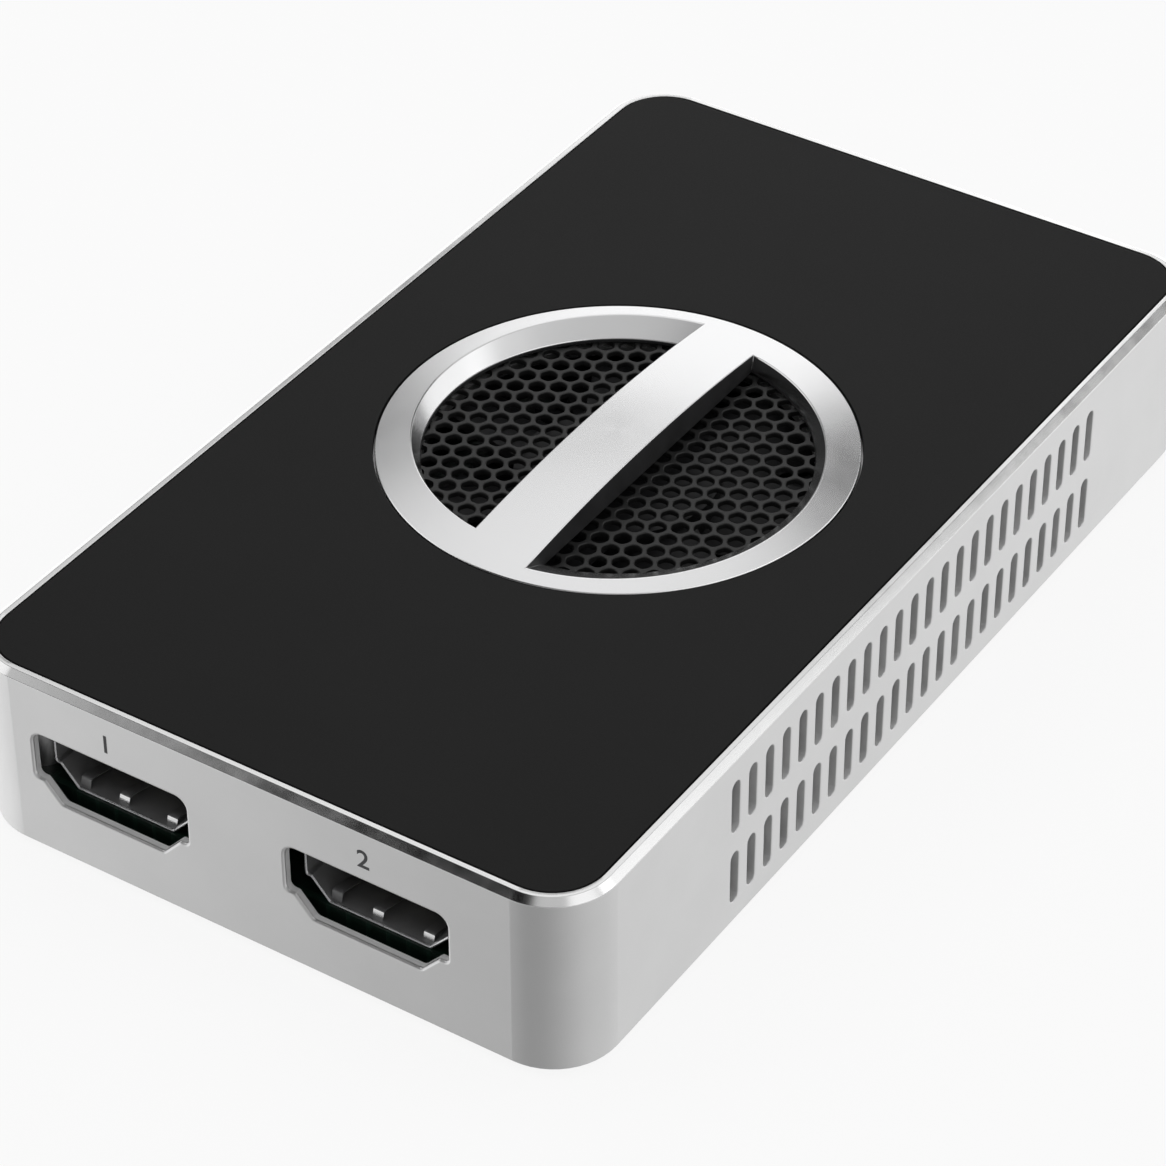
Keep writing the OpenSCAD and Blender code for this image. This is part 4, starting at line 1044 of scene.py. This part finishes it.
class CAPTUREBOX_OT_base(bpy.types.Operator):
    """Build the bottom cover and the rubber feet, and dress the screws"""
    bl_idname = "capturebox.base"
    bl_label = "Base"
    # Radii and heights in millimetres: a foot from its hollow round to its upper edge, and a screw's hole
    FOOT_PROFILE = ((0.4, 0.22), (1.6, 0.22), (1.75, 0.08), (1.95, 0.0), (4.1, 0.0), (4.28, 0.04),
                    (4.42, 0.15), (4.5, 0.36), (4.5, 1.05), (4.44, 1.2), (0.4, 1.2))
    SCREW_PROFILE = ((1.98, 0), (1.93, 0.05), (1.2, 0.75), (1.2, 1.2))
    COVER_EDGE, FOOT_GAP = 0.12 * MM, 0.15 * MM
    FOOT_STEPS = 56

    def execute(self, context):
        sizes = context.scene.capture_box.case
        feet = [(i * (FOOT_HIGH.x - sizes.foot), j * (FOOT_HIGH.y - sizes.foot)) for i, j in QUARTERS]
        self.cover(sizes, feet)
        skin = Skin()
        for centre in feet:
            skin.lathe([(r * MM, FOOT_LOW.z + z * MM) for r, z in self.FOOT_PROFILE], centre, self.FOOT_STEPS)
        made = skin.piece("foot_pads", "case", "foot_rubber", finish("foot_rubber"), 50.0)
        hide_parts("rubber_feet")
        dress(("cover_screws", "standoffs"), 0.06 * MM)
        return {"FINISHED"}

    def cover(self, sizes, feet):
        """The cover plate, with a shallow seat for each foot and a countersunk hole for each screw."""
        skin = Skin()
        corner = sizes.corner - (CASE_HIGH.x - COVER_HIGH.x)
        outer = skin.plate(COVER_LOW, COVER_HIGH, corner, self.COVER_EDGE, COVER_LOW.z, 1)
        skin.stack(outer)
        floors, tops = [outer[0]], [outer[-1]]
        for centre in feet:
            seat = circle(centre, sizes.foot + self.FOOT_GAP, self.FOOT_STEPS)
            rings = [skin.level(seat, z) for z in (COVER_LOW.z, FOOT_HIGH.z)]
            skin.stack(rings)
            skin.face(rings[-1])
            floors.append(rings[0])
        for i, j in QUARTERS:
            centre = (i * (CASE_HIGH.x - sizes.screw_inset), j * (CASE_HIGH.y - sizes.screw_inset))
            rings = [skin.level(circle(centre, r * MM, 32), COVER_LOW.z + z * MM)
                     for r, z in self.SCREW_PROFILE]
            skin.stack(rings)
            floors.append(rings[0])
            tops.append(rings[-1])
        skin.fill(floors, DOWN)
        skin.fill(tops, UP)
        made = skin.piece("cover_plate", "case", "cover_aluminium", finish("cover_aluminium"))
        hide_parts("bottom_cover")


class CAPTUREBOX_OT_rear_sockets(bpy.types.Operator):
    """Dress the host port and the audio jacks"""
    bl_idname = "capturebox.rear_sockets"
    bl_label = "Rear sockets"

    def execute(self, context):
        dress(("host_port_shell", "host_port_insulator", "audio_in_jack", "audio_out_jack"), 0.1 * MM)
        dress(("host_port_contacts", "audio_terminals"))
        return {"FINISHED"}


class CAPTUREBOX_OT_fan(bpy.types.Operator):
    """Dress the fan, its motor, screws, plug and lead"""
    bl_idname = "capturebox.fan"
    bl_label = "Fan"

    def execute(self, context):
        dress(("fan_frame", "fan_rotor", "fan_header", "fan_plug"), 0.1 * MM)
        dress(("fan_circuit", "fan_stator", "fan_coils", "fan_bearing", "fan_magnet", "fan_shaft",
               "fan_screws", "fan_lead"), 0.04 * MM)
        return {"FINISHED"}


class CAPTUREBOX_OT_board(bpy.types.Operator):
    """Dress the main board and all that sits on it"""
    bl_idname = "capturebox.board"
    bl_label = "Board"

    def execute(self, context):
        dress(("main_board",))
        dress(("processor", "thermal_pad", "heat_sink", "memory_chips", "video_chips", "host_chip",
               "audio_chip", "flash_chip", "clock_crystal", "power_inductors", "power_capacitors"), 0.08 * MM)
        return {"FINISHED"}


def grey(level):
    """A grey of a linear level, as a shader takes it."""
    return (level, level, level, 1)


def bare_tree(owner):
    """The emptied node tree of a material or world."""
    owner.use_nodes = True
    owner.node_tree.nodes.clear()
    return owner.node_tree


def direction(azimuth, elevation):
    """Unit vector of a direction in degrees: azimuth from the right round by the rear, elevation upward."""
    turn, rise = math.radians(azimuth), math.radians(elevation)
    return Vector((math.cos(rise) * math.cos(turn), math.cos(rise) * math.sin(turn), math.sin(rise)))


def aimed(place, back, turn):
    """Matrix of a camera or lamp at a place, with its back to a direction, turned from upright."""
    right = Vector(UP).cross(back).normalized()
    up = back.cross(right)
    across = right * math.cos(turn) + up * math.sin(turn)
    upright = up * math.cos(turn) - right * math.sin(turn)
    return Matrix.Translation(place) @ Matrix((across, upright, back)).transposed().to_4x4()


class CAPTUREBOX_OT_stage(bpy.types.Operator):
    """Build the floor, the light, the backdrop and the camera"""
    bl_idname = "capturebox.stage"
    bl_label = "Stage"
    FLOOR_REACH, FLOOR_DROP = 6.0, 0.02 * MM
    # The floor glows to hide the horizon, and a share of paint takes the shadow
    FLOOR_GLOW, FLOOR_PAINT, PAINT_SHARE = 1.055, 0.8, 0.12
    LAMP_DISTANCE = 0.9
    # Soft boxes: azimuth, elevation and turn from upright in degrees, size, radiance, and if metal shows them
    LAMPS = (("rear_strip", 111.6, 6.3, -23.9, (0.39, 1.01), 0.9, True),
             ("right_rear_box", 47.8, 27.9, 34.0, (0.38, 0.9), 0.91, True),
             ("overhead_fill", -149.0, 72.9, 60.2, (1.0, 1.0), 0.9, False))
    # What metal mirrors: round fields laid over a grey studio in this order, each with azimuth and elevation,
    # the radius where it starts and the one inside which it is full, in degrees, and its brightness
    STUDIO_GREY = 0.25
    FIELDS = ((0.0, -90.0, 92, 84, 1.14), (22.6, 78.6, 42, 34, 0.57), (127.3, 50.0, 16, 11, 0.94),
              (-3.9, 46.2, 27, 21, 1.1), (-142.1, 42.2, 37, 28, 0.0), (6.3, -47.8, 52, 15, 0.73),
              (-91.5, -51.2, 63, 7, 0.33), (111.8, -51.4, 32, 12, 0.48), (-163.3, 32.4, 25, 19, 1.05),
              (-149.3, -27.6, 26, 18, 1.14), (92.8, 33.2, 21, 17, 1.1), (95.8, 33.2, 17, 13, 0.05))

    def execute(self, context):
        settings = context.scene.capture_box.stage
        context.scene.view_settings.view_transform = "Standard"
        self.camera(context, settings)
        self.floor(context, settings)
        self.lamps(context)
        self.surroundings(context, settings)
        return {"FINISHED"}

    def camera(self, context, settings):
        data = bpy.data.cameras.new("camera")
        data.lens = settings.lens
        data.sensor_width = 36.0
        data.clip_start, data.clip_end = 0.01, 100.0
        made = bpy.data.objects.new("camera", data)
        eye = Vector(settings.eye)
        made.matrix_world = aimed(eye, (eye - Vector(settings.target)).normalized(), settings.roll)
        context.scene.collection.objects.link(made)
        context.scene.camera = made

    def floor(self, context, settings):
        """A pale floor that only the camera sees, and only from above."""
        skin = bmesh.new()
        bmesh.ops.create_grid(skin, x_segments=1, y_segments=1, size=self.FLOOR_REACH)
        data = bpy.data.meshes.new("floor")
        skin.to_mesh(data)
        skin.free()
        made = bpy.data.objects.new("floor", data)
        made.location = (0, 0, CAD_BOX[0][2] - self.FLOOR_DROP)
        context.scene.collection.objects.link(made)
        material = bpy.data.materials.new("pale_floor")
        tree = bare_tree(material)
        camera_ray = put(tree, "ShaderNodeLightPath", output="Is Camera Ray")
        from_below = put(tree, "ShaderNodeNewGeometry", output="Backfacing")
        shown = put(tree, "ShaderNodeMath", {0: camera_ray, 1: from_below}, operation="SUBTRACT",
                    use_clamp=True)
        paint = put(tree, "ShaderNodeBsdfDiffuse", {"Color": grey(self.FLOOR_PAINT)})
        glow = put(tree, "ShaderNodeEmission", {"Color": grey(settings.background),
                                                "Strength": self.FLOOR_GLOW})
        seen = put(tree, "ShaderNodeMixShader", {0: self.PAINT_SHARE, 1: glow, 2: paint})
        clear = put(tree, "ShaderNodeBsdfTransparent")
        whole = put(tree, "ShaderNodeMixShader", {0: shown, 1: clear, 2: seen})
        tree.links.new(whole, tree.nodes.new("ShaderNodeOutputMaterial").inputs["Surface"])
        data.materials.append(material)

    def lamps(self, context):
        for name, azimuth, elevation, turn, size, radiance, mirrored in self.LAMPS:
            data = bpy.data.lights.new(name, "AREA")
            data.shape = "RECTANGLE"
            data.size, data.size_y = size
            data.energy = radiance * math.pi * size[0] * size[1]
            made = bpy.data.objects.new(name, data)
            back = direction(azimuth, elevation)
            made.matrix_world = aimed(back * self.LAMP_DISTANCE, back, math.radians(turn))
            made.visible_camera = False
            made.visible_glossy = mirrored
            context.scene.collection.objects.link(made)

    def surroundings(self, context, settings):
        """A pale backdrop for the camera, and a studio with dark and bright fields for metal to mirror."""
        world = bpy.data.worlds.new("studio")
        context.scene.world = world
        tree = bare_tree(world)
        way = put(tree, "ShaderNodeTexCoord", output="Generated")
        camera_ray = put(tree, "ShaderNodeLightPath", output="Is Camera Ray")
        level = self.STUDIO_GREY
        for azimuth, elevation, start, end, brightness in self.FIELDS:
            towards = direction(azimuth, elevation)
            near = put(tree, "ShaderNodeVectorMath", {0: way, 1: towards}, "Value", operation="DOT_PRODUCT")
            start, end = math.cos(math.radians(start)), math.cos(math.radians(end))
            mask = put(tree, "ShaderNodeMapRange", {"Value": near, "From Min": start, "From Max": end},
                       interpolation_type="SMOOTHSTEP")
            level = put(tree, "ShaderNodeMix", {0: mask, 2: level, 3: brightness}, data_type="FLOAT")
        inside = put(tree, "ShaderNodeBackground", {"Color": level, "Strength": 1.0})
        outside = put(tree, "ShaderNodeBackground", {"Color": grey(settings.background), "Strength": 1.0})
        both = put(tree, "ShaderNodeMixShader", {0: camera_ray, 1: inside, 2: outside})
        tree.links.new(both, tree.nodes.new("ShaderNodeOutputWorld").inputs["Surface"])


class CAPTUREBOX_PT_pieces(bpy.types.Panel):
    """Lists the pieces of the capture box and their settings"""
    bl_idname = "CAPTUREBOX_PT_pieces"
    bl_label = "Capture box"
    bl_space_type = "VIEW_3D"
    bl_region_type = "UI"
    bl_category = "Capture box"

    def draw(self, context):
        for operator in OPERATORS:
            self.layout.operator(operator.bl_idname)
        settings = context.scene.capture_box
        for group in type(settings).__annotations__:
            held = getattr(settings, group)
            box = self.layout.box()
            box.label(text=group.capitalize())
            for name in type(held).__annotations__:
                box.prop(held, name)


OPERATORS = (CAPTUREBOX_OT_stage, CAPTUREBOX_OT_case, CAPTUREBOX_OT_panel, CAPTUREBOX_OT_ring,
             CAPTUREBOX_OT_honeycomb, CAPTUREBOX_OT_front_sockets, CAPTUREBOX_OT_numbers, CAPTUREBOX_OT_base,
             CAPTUREBOX_OT_rear_sockets, CAPTUREBOX_OT_fan, CAPTUREBOX_OT_board)
CLASSES = (CaseSizes, VentSizes, GrilleSizes, SocketSizes, FinishColours, StageSettings,
           CaptureBoxSettings) + OPERATORS + (CAPTUREBOX_PT_pieces,)


def register():
    for cls in CLASSES:
        bpy.utils.register_class(cls)
    bpy.types.Scene.capture_box = PointerProperty(type=CaptureBoxSettings)


def unregister():
    del bpy.types.Scene.capture_box
    for cls in reversed(CLASSES):
        bpy.utils.unregister_class(cls)


def main():
    register()
    for operator in OPERATORS:
        group, name = operator.bl_idname.split(".")
        getattr(getattr(bpy.ops, group), name)()


if __name__ == "__main__":
    main()
